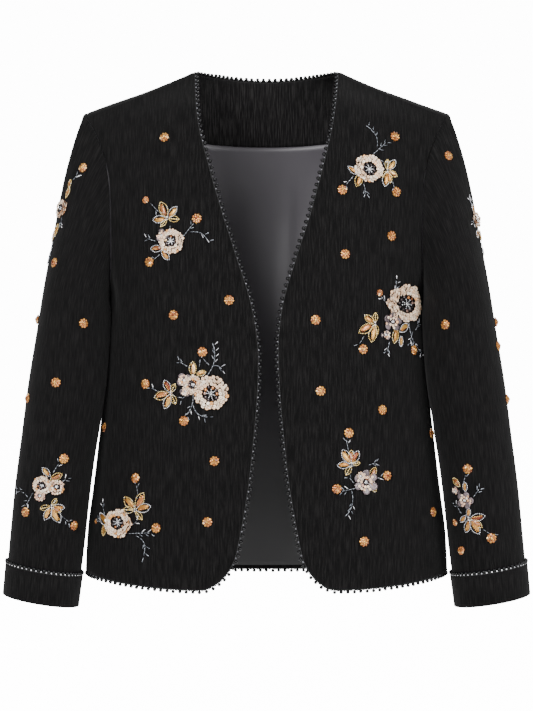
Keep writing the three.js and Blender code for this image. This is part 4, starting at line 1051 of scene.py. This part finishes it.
def add_heart(beads, ground, middle, radius, wide):
    """The middle of a blossom: dark cut beads round it and short lines of silver seeds."""
    draw = beads.draw
    dark = clamp(radius * 0.22, 0.0009, 0.0018)
    count = max(int(2 * math.pi * radius * 0.80 / (dark * 2.3)), 4)
    turn = draw.uniform(0, 6.28)
    for i in range(count):
        angle = turn + 2 * math.pi * i / count
        place = round_from(*middle, radius * draw.uniform(0.74, 0.86), angle, wide)
        look = "amber cut" if draw.random() < 0.15 else "hematite"
        beads.add("facet", ground.stand(*place, angle, 0.0015), dark, look)
    lines, seeds = (7, 3) if radius > 0.005 else (5, 2)
    for i in range(lines):
        angle = turn + 2 * math.pi * (i + draw.uniform(-0.2, 0.2)) / lines
        for k in range(seeds):
            place = round_from(*middle, radius * (0.12 + 0.21 * k), angle, wide)
            beads.add("seed", ground.stand(*place, angle, 0.0020), 0.00072, "silver bead")


def add_mauve_blossom(beads, ground, motif):
    """Cut translucent-looking petals with a small ring of sequins and a beaded middle."""
    a, b, radius, petals, wide = (motif[key] for key in ("a", "b", "size", "petals", "wide"))
    draw = beads.draw
    for i in range(petals):
        angle = math.radians(motif["turn"]) + 2 * math.pi * (i + draw.uniform(-0.1, 0.1)) / petals
        place = round_from(a, b, radius * 0.58, angle, wide)
        stand = ground.stand(*place, angle, 0.0013 + 0.0004 * (i % 2), draw.uniform(-0.25, -0.05), angle)
        beads.add("petal", stand, (radius * 0.45, radius * clamp(2.4 / petals, 0.34, 0.62), 0.0022), "mauve")
    sequin = clamp(radius * 0.16, 0.0011, 0.0017)
    for out, share in ((0.62, 0.45), (0.38, 0.9)):
        count = int(2 * math.pi * radius * out / (sequin * 1.8))
        for i in range(count):
            if draw.random() > share:
                continue
            angle = 2 * math.pi * (i + draw.uniform(-0.15, 0.15)) / count
            place = round_from(a, b, radius * out, angle, wide)
            stand = ground.stand(*place, angle, 0.0026, draw.uniform(-0.5, -0.1), angle)
            beads.add("sequin", stand, sequin, "cream" if draw.random() < 0.6 else "blush")
    add_heart(beads, ground, (a, b), radius * 0.30, wide)


def add_leaf(beads, ground, motif, small=False):
    """A pointed leaf: a row of tiny beads round it, and a cut filling that leaves a dark gap."""
    length, turn = motif["size"], motif["turn"]
    draw = beads.draw
    cos, sin = math.cos(turn), math.sin(turn)
    half, wide = length / 2, length * 0.24
    gold = small or motif["fill"] == "amber" and draw.random() < 0.75 or draw.random() < 0.25
    rim = "gold bead" if gold else "silver bead"
    bead = 0.00055 if small else 0.00066

    def at(along, beside=0.0):
        return motif["a"] + along * cos - beside * sin, motif["b"] + along * sin + beside * cos

    outline = []
    for i in range(161):
        x = 1 - 4 * abs(i / 160 - 0.5)
        outline.append(at(half * x, (1 - x * x) * (1 + 0.18 * x) * (1 if i < 80 else -1) * wide))
    walked = 0.0
    for before, after in zip(outline, outline[1:]):
        walked += math.dist(before, after)
        if walked > bead * 2.5:
            walked = 0.0
            beads.add("seed", ground.stand(*after, turn, 0.0010), bead, rim)
    if small:
        for i in range(int(length / VEIN_STEP)):
            place = at((i + 1) * VEIN_STEP - half)
            beads.add("seed", ground.stand(*place, turn, 0.0012), 0.00085, "gold bead")
        return
    fills = {"gold": ("gold cut", "warm cut"), "amber": ("amber cut", "gold cut")}[motif["fill"]]
    shift = draw.choice((-1, 1)) * wide * 0.2
    beads.add("dome", ground.stand(*at(0, shift), turn, 0.0006), (half * 0.80, wide * 0.60, 0.0013), fills[0])
    for i in range(6):
        place = at(mix(-0.55, 0.6, i / 5) * half, -shift)
        beads.add("facet", ground.stand(*place, turn, 0.0016), 0.0008, fills[i % 2])


def add_cluster(beads, ground, motif):
    """Leaves that fan out from one base, the small ones all in gold beads."""
    base = motif["a"], motif["b"]
    for kind in ("big", "small"):
        for i, (turn, length) in enumerate(motif[kind]):
            a, b = round_from(*base, length * 0.52, turn)
            fill = ("gold", "amber", "gold")[i % 3]
            part = {"a": a, "b": b, "size": length * 0.94, "turn": turn, "fill": fill}
            add_leaf(beads, ground, part, kind == "small")
    for i in range(4):
        angle = 1.57 * i
        place = round_from(*base, 0.0012, angle)
        look = "silver bead" if i % 2 else "hematite"
        beads.add("facet", ground.stand(*place, angle, 0.0018), 0.0009, look)


def add_twig(beads, ground, motif):
    """A line of tube beads with shorter ones leaning off it to either side."""
    start, end = Vector((motif["a"], motif["b"])), Vector(motif["end"])
    line = end - start
    beside = Vector((-line.y, line.x)).normalized()
    draw = beads.draw
    count = max(int(round(line.length / TUBE_STEP)), 1)

    def at(t):
        return start + line * t + beside * motif["bend"] * math.sin(math.pi * t) * 2

    for i in range(count):
        low, high = at(i / count), at((i + 1) / count)
        turn = math.atan2(high.y - low.y, high.x - low.x)
        size = ((high - low).length * 0.93 / 2, 0.00042, 0.00042)
        beads.add("bugle", ground.stand(*(low + high) / 2, turn, 0.0008), size, "silver bugle")
    heading = math.atan2(line.y, line.x)
    for i in range(motif["sides"]):
        t = mix(0.35, 1.02, (i + 1) / motif["sides"])
        lean = heading + (1 if i % 2 else -1) * draw.uniform(0.45, 0.8)
        root = at(t) + Vector((math.cos(lean), math.sin(lean))) * TUBE_STEP
        size = draw.uniform(0.0017, 0.0024), draw.uniform(0.0004, 0.0005), 0.0005
        look = "silver bead" if draw.random() < 0.35 else "silver bugle"
        beads.add("bugle", ground.stand(*root, lean, 0.0009), size, look)


def add_bud(beads, ground, motif):
    """A single small cut bead with a warm shine."""
    add_rosette(beads, ground, motif["a"], motif["b"], motif["size"] * 1.3)


def add_blossom(beads, ground, motif):
    """A blossom in cut petals or in sequins."""
    add = add_mauve_blossom if motif["tone"] == "mauve" else add_cream_blossom
    add(beads, ground, motif)


# In the order in which they are laid: stems first, then leaves, and the blossoms on top.
MOTIFS = {"twig": add_twig, "cluster": add_cluster, "leaf": add_leaf, "bud": add_bud, "blossom": add_blossom}


def laid(motif, wide):
    """A motif in metres as it lies on the cloth, where the cloth is wider than it looks from the front."""
    whole = dict(motif, a=motif["a"] * MM * wide, b=motif["b"] * MM, wide=wide * motif.get("swell", 1))

    def stretched(length, degrees):
        turn = math.radians(degrees)
        x, y = length * MM * math.cos(turn) * wide, length * MM * math.sin(turn)
        return math.atan2(y, x), math.hypot(x, y)

    if motif["kind"] == "leaf":
        whole["turn"], whole["size"] = stretched(motif["size"], motif["turn"])
    elif motif["kind"] == "cluster":
        for key in ("big", "small"):
            whole[key] = [stretched(length, turn) for turn, length in motif[key]]
    elif motif["kind"] == "twig":
        whole["end"] = (motif["end"][0] * MM * wide, motif["end"][1] * MM)
        whole["bend"] = motif["bend"] * MM
    else:
        whole["size"] = motif["size"] * MM
    return whole


def make_spray(seed, name, piece, side, spot, wide, motifs):
    """One spray of embroidery, on the cloth within its reach."""
    motifs = [laid(motif, wide) for motif in motifs]
    reach = [0.0, 0.0, 0.0, 0.0]
    for motif in motifs:
        margin = 0.006 if motif["kind"] == "twig" else motif.get("size", 0.022) + 0.004
        for a, b in ((motif["a"], motif["b"]), motif.get("end", (motif["a"], motif["b"]))):
            reach[0], reach[1] = min(reach[0], a - margin), min(reach[1], b - margin)
            reach[2], reach[3] = max(reach[2], a + margin), max(reach[3], b + margin)
    ground = Ground(piece, side, spot, reach)
    beads = Beadwork(seed)
    for kind, add in MOTIFS.items():
        for motif in motifs:
            if motif["kind"] == kind:
                add(beads, ground, motif)
    return beads.finish("beads_" + name, name, "embroidery_beadwork")


def join(tree, *pairs):
    """Links outputs to inputs."""
    for source, target in pairs:
        tree.links.new(source, target)


def add_node(tree, kind, inputs=None, **traits):
    """A shader node whose traits and inputs are set, each input to a value or to another node's output."""
    made = tree.nodes.new("ShaderNode" + kind)
    for name, value in traits.items():
        setattr(made, name, value)
    for name, value in (inputs or {}).items():
        if isinstance(value, bpy.types.NodeSocket):
            tree.links.new(value, made.inputs[name])
        else:
            made.inputs[name].default_value = value
    return made


def math_node(tree, operation, *values):
    """The result of a math node."""
    return add_node(tree, "Math", dict(enumerate(values)), operation=operation).outputs[0]


def color_mix(tree, share, a, b):
    """The colour a share of the way from a to b."""
    return add_node(tree, "Mix", {"Factor": share, "A": a, "B": b}, data_type="RGBA").outputs["Result"]


def bump_normal(tree, height, strength, distance):
    """The normal of a surface with a fine relief."""
    inputs = {"Height": height, "Strength": strength, "Distance": distance}
    return add_node(tree, "Bump", inputs).outputs["Normal"]


def new_group(name, inputs, outputs):
    """A node group with its input and output nodes."""
    tree = bpy.data.node_groups.new(name, "ShaderNodeTree")
    for kind, label, default in inputs:
        given = tree.interface.new_socket(label, in_out="INPUT", socket_type="NodeSocket" + kind)
        given.default_value = default
    for kind, label in outputs:
        tree.interface.new_socket(label, in_out="OUTPUT", socket_type="NodeSocket" + kind)
    return tree, tree.nodes.new("NodeGroupInput").outputs, tree.nodes.new("NodeGroupOutput").inputs


def streaks_group():
    """Masks of fine slubs that run along the grain, and of the cloth's pile."""
    found = bpy.data.node_groups.get("Slub streaks")
    if found:
        return found
    tree, given, result = new_group(
        "Slub streaks", (("Float", "Slub Width", 0.0012), ("Float", "Slub Length", 0.020)),
        (("Float", "Slubs"), ("Float", "Pile")))
    grain = add_node(tree, "UVMap", uv_map="grain").outputs["UV"]
    parts = add_node(tree, "SeparateXYZ", {0: grain}).outputs
    scaled = add_node(tree, "CombineXYZ", {
        "X": math_node(tree, "DIVIDE", parts["X"], given["Slub Width"]),
        "Y": math_node(tree, "DIVIDE", parts["Y"], given["Slub Length"]),
    })
    inputs = {"Vector": scaled.outputs[0], "Scale": 1.0, "Detail": 3.0, "Roughness": 0.6}
    slubs = add_node(tree, "TexNoise", inputs)
    pile = add_node(tree, "TexNoise", {"Vector": grain, "Scale": 1800.0, "Detail": 1.0})
    contrast = add_node(tree, "MapRange", {"Value": slubs.outputs["Fac"], "From Min": 0.44, "From Max": 0.68})
    join(tree, (contrast.outputs[0], result["Slubs"]), (pile.outputs["Fac"], result["Pile"]))
    return tree


def tones_group():
    """A colour for one bead, sequin or petal, from its tone and from a fine unevenness over it."""
    found = bpy.data.node_groups.get("Bead tones")
    if found:
        return found
    tree, given, result = new_group("Bead tones", (
        ("Color", "Deep Color", rgb(0.5, 0.3, 0.1)), ("Color", "Light Color", rgb(0.9, 0.7, 0.4)),
        ("Color", "Rare Color", rgb(0.9, 0.5, 0.2)), ("Color", "Rim Color", rgb(0.5, 0.3, 0.15)),
        ("Float", "Rim Share", 0.0), ("Float", "Rare Share", 0.05), ("Float", "Grain Amount", 0.2),
    ), (("Color", "Color"),))
    tone = add_node(tree, "Attribute", attribute_name="tone").outputs["Fac"]
    rim = add_node(tree, "Attribute", attribute_name="rim").outputs["Fac"]
    place = add_node(tree, "TexCoord").outputs["Object"]
    noise = add_node(tree, "TexNoise", {"Vector": place, "Scale": 900.0}).outputs["Fac"]
    spread = math_node(tree, "FRACT", math_node(tree, "MULTIPLY", tone, 7.31))
    grained = math_node(tree, "MULTIPLY", math_node(tree, "SUBTRACT", noise, 0.5), given["Grain Amount"])
    share = math_node(tree, "ADD", spread, grained)
    plain = color_mix(tree, share, given["Deep Color"], given["Light Color"])
    is_rare = math_node(tree, "LESS_THAN", tone, given["Rare Share"])
    rare = color_mix(tree, is_rare, plain, given["Rare Color"])
    # The rim colour where the rim value is high: painted shade round a sequin's edge, a dark hole dimple, and
    # a darker end on a leaf dome.
    edge_share = math_node(tree, "MULTIPLY", rim, given["Rim Share"])
    edged = color_mix(tree, edge_share, rare, given["Rim Color"])
    join(tree, (edged, result["Color"]))
    return tree


def new_look(name, **numbers):
    """A material with a Principled BSDF whose plain numbers are set."""
    look = bpy.data.materials.new(name)
    look.use_nodes = True
    tree = look.node_tree
    shader = next(part for part in tree.nodes if part.type == "BSDF_PRINCIPLED").inputs
    for key, value in numbers.items():
        shader[key.replace("_", " ")].default_value = value
    return look, tree, shader


def darker(color, share):
    """A colour with its parts multiplied."""
    return [part * share for part in color[:3]] + [1]


def shell_look(name, lift=1.0):
    """The napped black cloth with fine lighter slubs; a lift above 1 gives a lighter copy, painted light for
    the shaded neck facing.
    """
    look, tree, shader = new_look(
        name, Roughness=0.95, Specular_IOR_Level=0.08, Sheen_Weight=0.035, Sheen_Roughness=0.5)
    inputs = {"Slub Width": sizes().slub_width, "Slub Length": sizes().slub_length}
    streaks = add_node(tree, "Group", inputs, node_tree=streaks_group())
    slubs, pile = streaks.outputs["Slubs"], streaks.outputs["Pile"]
    color = color_mix(tree, slubs, darker(colours().shell, lift), darker(colours().slub, lift))
    height = math_node(tree, "ADD", slubs, math_node(tree, "MULTIPLY", pile, 0.5))
    join(tree, (color, shader["Base Color"]), (bump_normal(tree, height, 0.35, 0.0003), shader["Normal"]))
    return look


def satin_look(name):
    """The charcoal satin of the lining, with a fine even weave and painted shade that darkens it towards its
    foot.
    """
    look, tree, shader = new_look(name, Roughness=0.42, Specular_IOR_Level=0.45, Sheen_Weight=0.15)
    place = add_node(tree, "TexCoord").outputs["Object"]
    # Painted shade: the satin's colour falls to a tenth of itself from z -0.24 down to -0.46.
    height = add_node(tree, "SeparateXYZ", {0: place}).outputs["Z"]
    share = add_node(tree, "MapRange", {"Value": height, "From Min": -0.46, "From Max": -0.24}).outputs[0]
    painted_shade = color_mix(tree, share, darker(colours().satin, 0.10), colours().satin)
    grain = add_node(tree, "UVMap", uv_map="grain").outputs["UV"]
    inputs = {"Vector": grain, "Scale": 700.0, "Distortion": 0.6}
    weave = add_node(tree, "TexWave", inputs, bands_direction="DIAGONAL").outputs["Fac"]
    join(tree, (painted_shade, shader["Base Color"]), (bump_normal(tree, weave, 0.12, 0.0001), shader["Normal"]))
    return look


def bead_look(name, deep, light, rare=None, rare_share=0.0, grain=0.2, rim=None, rim_share=0.0, **numbers):
    """A hard glossy material whose colour changes from bead to bead."""
    look, tree, shader = new_look(name, **numbers)
    tones = add_node(tree, "Group", {
        "Deep Color": deep, "Light Color": light, "Rare Color": rare or light, "Rare Share": rare_share,
        "Rim Color": rim or deep, "Rim Share": rim_share, "Grain Amount": grain,
    }, node_tree=tones_group())
    join(tree, (tones.outputs["Color"], shader["Base Color"]))
    return look


def rgb(red, green, blue):
    return (red, green, blue, 1)


def mauve_look(name):
    """A cut petal of smoky mauve that lets some light through and shines at its rim."""
    deep, light = rgb(0.065, 0.05, 0.055), rgb(0.19, 0.145, 0.155)
    look = bead_look(name, deep, light, Roughness=0.28, Coat_Weight=0.6, Coat_Roughness=0.15)
    tree = look.node_tree
    shader = next(part for part in tree.nodes if part.type == "BSDF_PRINCIPLED").inputs
    facing = add_node(tree, "LayerWeight", {"Blend": 0.4}).outputs["Facing"]
    solid = add_node(tree, "MapRange", {"Value": facing, "To Min": 0.72, "To Max": 1.0}).outputs[0]
    join(tree, (solid, shader["Alpha"]))
    return look


def gloss(roughness, metallic=0.0, coat=0.0, specular=0.5):
    """The finish of a hard bead."""
    return {"Roughness": roughness, "Metallic": metallic, "Coat_Weight": coat, "Specular_IOR_Level": specular}


# Deep, light and rare colour, the rare one's share, fine unevenness, rim colour and its share (painted shade
# round a sequin's edge); the finish.
BEAD_LOOKS = {
    "jet": (((0.002, 0.002, 0.0022), (0.004, 0.004, 0.0045)), gloss(0.24, specular=0.22)),
    "black cord": (((0.004, 0.004, 0.004), (0.012, 0.012, 0.012)), gloss(0.7)),
    "silver bead": (((0.4, 0.4, 0.43), "silver"), gloss(0.25, 0.4, 0.3)),
    "grey bead": (((0.05, 0.05, 0.055), (0.2, 0.2, 0.22)), gloss(0.3, 0.8)),
    "silver bugle": (((0.12, 0.13, 0.15), (0.36, 0.38, 0.42)), gloss(0.3, 0.75)),
    "gold bead": (((0.7, 0.46, 0.14), "gold", (0.95, 0.88, 0.7), 0.12), gloss(0.25, 0.3)),
    "gold cut": ((
        (0.38, 0.15, 0.025), (0.68, 0.4, 0.1), (0.16, 0.03, 0.01), 0.16, 0.5, (0.2, 0.05, 0.012), 0.85,
    ), gloss(0.3, 0.6, 0.15)),
    "warm cut": (("amber", (0.6, 0.31, 0.075)), gloss(0.22, 0.6, 0.3)),
    "amber cut": ((
        (0.14, 0.038, 0.012), (0.55, 0.2, 0.05), (0.9, 0.6, 0.3), 0.12, 0.2, (0.06, 0.015, 0.006), 0.7,
    ), gloss(0.18, 0.3, 0.6)),
    "hematite": (((0.02, 0.017, 0.018), (0.11, 0.085, 0.085), (0.35, 0.22, 0.18), 0.12), gloss(0.16, 0.7)),
    # On the cream and blush sequins the rim colour is painted shade between overlapping sequins.
    "cream": ((
        "blush", "cream", (0.8, 0.36, 0.09), 0.06, 0.4, (0.24, 0.1, 0.045), 0.95,
    ), gloss(0.26, coat=0.4)),
    "blush": ((
        (0.58, 0.33, 0.27), "blush", (0.85, 0.45, 0.18), 0.06, 0.3, (0.28, 0.15, 0.12), 0.7,
    ), gloss(0.26, coat=0.4)),
}
# How many times lighter the neck facing's cloth is drawn: painted light on cloth that lies in shade.
FACING_PAINTED_LIGHT = 3.2
CLOTH_LOOKS = {
    "shell cloth": shell_look, "facing cloth": lambda name: shell_look(name, FACING_PAINTED_LIGHT),
    "lining satin": satin_look, "mauve": mauve_look,
}


def tone_value(tone):
    """A setting's colour by its name, a colour from its three parts, or a plain number."""
    if isinstance(tone, str):
        return getattr(colours(), tone)
    return rgb(*tone) if isinstance(tone, tuple) else tone


def finish_named(name):
    """The material of this name, made when it is first asked for."""
    found = bpy.data.materials.get(name)
    if found:
        return found
    if name in CLOTH_LOOKS:
        return CLOTH_LOOKS[name](name)
    tones, finish = BEAD_LOOKS[name]
    return bead_look(name, *map(tone_value, tones), **finish)


def length_setting(name, description, default):
    return bpy.props.FloatProperty(name=name, description=description, default=default, unit="LENGTH")


def color_setting(name, description, *parts):
    return bpy.props.FloatVectorProperty(
        name=name, description=description, default=(*parts, 1), size=4, subtype="COLOR")


class JacketSizes(bpy.types.PropertyGroup):
    """The sizes of the jacket's cloth and edging."""

    wall: length_setting("Cloth Thickness", "Thickness of the shell cloth", 0.002)
    bead: length_setting("Edging Bead Radius", "Radius of the large beads of the edging", 0.0020)
    pitch: length_setting("Edging Pitch", "Distance between the large beads of the edging", 0.0071)
    cuff_pitch: length_setting("Cuff Edging Pitch", "Distance between the large beads on a cuff", 0.0057)
    slub_width: length_setting("Slub Width", "Width of the slubs in the shell cloth", 0.0012)
    slub_length: length_setting("Slub Length", "Length of the slubs in the shell cloth", 0.020)


class JacketColours(bpy.types.PropertyGroup):
    """The colours of the jacket's cloth and beads."""

    shell: color_setting("Shell", "Ground of the shell cloth", 0.0021, 0.0020, 0.0021)
    slub: color_setting("Slubs", "Lighter slubs of the shell cloth", 0.0085, 0.0080, 0.0080)
    satin: color_setting("Lining", "Satin of the lining", 0.066, 0.060, 0.070)
    silver: color_setting("Silver", "Small silver beads", 0.95, 0.95, 0.97)
    gold: color_setting("Gold", "Small gold beads", 0.97, 0.78, 0.38)
    amber: color_setting("Amber", "Cut beads of the rosettes", 0.34, 0.11, 0.025)
    cream: color_setting("Cream", "Light sequins", 1.0, 0.92, 0.76)
    blush: color_setting("Blush", "Pink sequins", 0.92, 0.62, 0.38)


def sizes():
    return bpy.context.scene.jacket_sizes


def colours():
    return bpy.context.scene.jacket_colours


class JACKET_OT_fronts(bpy.types.Operator):
    """Make the two fronts."""

    bl_idname = "jacket.fronts"
    bl_label = "Fronts"

    def execute(self, context):
        for side, name in SIDES:
            front = make_front(side, name)
        return {"FINISHED"}


class JACKET_OT_back(bpy.types.Operator):
    """Make the back."""

    bl_idname = "jacket.back"
    bl_label = "Back"

    def execute(self, context):
        make_back()
        return {"FINISHED"}


class JACKET_OT_sleeves(bpy.types.Operator):
    """Make the two sleeves."""

    bl_idname = "jacket.sleeves"
    bl_label = "Sleeves"

    def execute(self, context):
        for side, name in SIDES:
            make_sleeve(side, name)
        return {"FINISHED"}


class JACKET_OT_cuffs(bpy.types.Operator):
    """Make the turned-back cuffs."""

    bl_idname = "jacket.cuffs"
    bl_label = "Cuffs"

    def execute(self, context):
        for side, name in SIDES:
            cuff = make_cuff(side, name)
        return {"FINISHED"}


class JACKET_OT_inside(bpy.types.Operator):
    """Make the neck facing and the back lining."""

    bl_idname = "jacket.inside"
    bl_label = "Facing and Lining"

    def execute(self, context):
        make_facing()
        make_lining()
        return {"FINISHED"}


class JACKET_OT_edging(bpy.types.Operator):
    """Make the beaded edging of every open edge."""

    bl_idname = "jacket.edging"
    bl_label = "Beaded Edging"

    def execute(self, context):
        pitch = sizes().pitch
        for side, name in SIDES:
            front, cuff = front_edges(side), cuff_edge(side)
            edge_beads("front_" + name, front, pitch, 11 + side, "trim_front_" + name, "grey bead")
            edge_beads("cuff_" + name, cuff, sizes().cuff_pitch, 15 + side, "trim_cuff_" + name)
        edge_beads("hem_back", back_edge(0, 0.2, 1), pitch, 18, "trim_hem_back")
        neck = back_edge(BACK_SEAM_ROW, BACK_SEAM_ROW - 0.2, NECK_SHARE)
        edge_beads("back_neck", neck, pitch, 19, "trim_back_neck")
        return {"FINISHED"}


class JACKET_OT_rosettes(bpy.types.Operator):
    """Make the lone bead rosettes."""

    bl_idname = "jacket.rosettes"
    bl_label = "Rosettes"

    def execute(self, context):
        for side, name in SIDES:
            for piece in ("front", "sleeve"):
                make_rosettes(piece, side, name)
        return {"FINISHED"}


class JACKET_OT_sprays(bpy.types.Operator):
    """Make the ten sprays of embroidery."""

    bl_idname = "jacket.sprays"
    bl_label = "Sprays"

    def execute(self, context):
        for seed, spray in enumerate(SPRAYS, 100):
            make_spray(seed, *spray)
        return {"FINISHED"}


CAMERA_PLACE = (0, -2.6, -0.308)
CAMERA_LENS = 119.7
CAMERA_SENSOR = 36
FLOOR_HEIGHT = -0.72
FLOOR_HALF = 9.0
# The backdrop's brightness for the camera, and the light that it gives to the jacket.
BACKDROP = 14.0
AMBIENT = 0.5
AIM = Vector((0, 0, -0.3))
LAMPS = (
    ("key", (-1.2, -2.5, 0.9), (1.5, 1.1), 108),
    ("fill", (1.8, -2.0, 0.3), (1.4, 1.8), 74),
    ("rim", (0.6, 1.8, 1.6), (1.4, 1.0), 22),
)


def link(name, data, place):
    """A new object in the scene."""
    thing = bpy.data.objects.new(name, data)
    thing.location = place
    bpy.context.scene.collection.objects.link(thing)
    return thing


def soft_light(name, place, size, watts):
    """A large area light that faces the jacket."""
    light = bpy.data.lights.new(name, "AREA")
    light.shape = "RECTANGLE"
    light.size, light.size_y = size
    light.energy = watts
    lamp = link(name, light, place)
    lamp.rotation_euler = (AIM - Vector(place)).to_track_quat("-Z", "Y").to_euler()
    return lamp


def paper_floor():
    """A bright paper floor well below the hem."""
    form = bmesh.new()
    bmesh.ops.create_grid(form, x_segments=1, y_segments=1, size=FLOOR_HALF)
    mesh = bpy.data.meshes.new("floor")
    form.to_mesh(mesh)
    form.free()
    paper, tree, shader = new_look("floor paper", Roughness=0.9)
    shader["Base Color"].default_value = rgb(0.93, 0.93, 0.93)
    shader["Emission Color"].default_value = rgb(1, 1, 1)
    seen = add_node(tree, "LightPath").outputs["Is Camera Ray"]
    join(tree, (math_node(tree, "MULTIPLY", seen, BACKDROP), shader["Emission Strength"]))
    mesh.materials.append(paper)
    return link("floor", mesh, (0, 0, FLOOR_HEIGHT))


def studio_world():
    """An even surround that the camera sees as white."""
    world = bpy.data.worlds.new("studio")
    world.use_nodes = True
    tree = world.node_tree
    sky = next(part for part in tree.nodes if part.type == "BACKGROUND").inputs
    seen = add_node(tree, "LightPath").outputs["Is Camera Ray"]
    power = math_node(tree, "ADD", math_node(tree, "MULTIPLY", seen, BACKDROP - AMBIENT), AMBIENT)
    join(tree, (power, sky["Strength"]))
    sky["Color"].default_value = rgb(1, 1, 1)
    return world


class JACKET_OT_stage(bpy.types.Operator):
    """Make the floor, the lights and the camera."""

    bl_idname = "jacket.stage"
    bl_label = "Stage"

    def execute(self, context):
        floor = paper_floor()
        context.scene.world = studio_world()
        lamps = [soft_light(*lamp) for lamp in LAMPS]
        camera = link("camera", bpy.data.cameras.new("camera"), CAMERA_PLACE)
        camera.data.lens = CAMERA_LENS
        camera.data.sensor_width = CAMERA_SENSOR
        camera.rotation_euler = (math.pi / 2, 0, 0)
        context.scene.camera = camera
        return {"FINISHED"}


class JACKET_PT_panel(bpy.types.Panel):
    """Lists the jacket's sizes, colours and pieces."""

    bl_idname = "JACKET_PT_panel"
    bl_label = "Jacket"
    bl_space_type = "VIEW_3D"
    bl_region_type = "UI"
    bl_category = "Jacket"

    def draw(self, context):
        layout = self.layout
        for group in (sizes(), colours()):
            for name in group.__annotations__:
                layout.prop(group, name)
        for operator in OPERATORS:
            layout.operator(operator.bl_idname)


OPERATORS = (
    JACKET_OT_fronts, JACKET_OT_back, JACKET_OT_sleeves, JACKET_OT_cuffs, JACKET_OT_inside, JACKET_OT_edging,
    JACKET_OT_rosettes, JACKET_OT_sprays, JACKET_OT_stage,
)
CLASSES = (JacketSizes, JacketColours, *OPERATORS, JACKET_PT_panel)


def register():
    """Registers the classes and their properties."""
    for item in CLASSES:
        bpy.utils.register_class(item)
    bpy.types.Scene.jacket_sizes = bpy.props.PointerProperty(type=JacketSizes)
    bpy.types.Scene.jacket_colours = bpy.props.PointerProperty(type=JacketColours)


def unregister():
    """Removes the classes and their properties."""
    del bpy.types.Scene.jacket_colours
    del bpy.types.Scene.jacket_sizes
    for item in reversed(CLASSES):
        bpy.utils.unregister_class(item)


def main():
    """Makes the whole jacket and its stage."""
    register()
    bpy.ops.jacket.fronts()
    bpy.ops.jacket.back()
    bpy.ops.jacket.sleeves()
    bpy.ops.jacket.cuffs()
    bpy.ops.jacket.inside()
    bpy.ops.jacket.edging()
    bpy.ops.jacket.rosettes()
    bpy.ops.jacket.sprays()
    bpy.ops.jacket.stage()


if __name__ == "__main__":
    main()
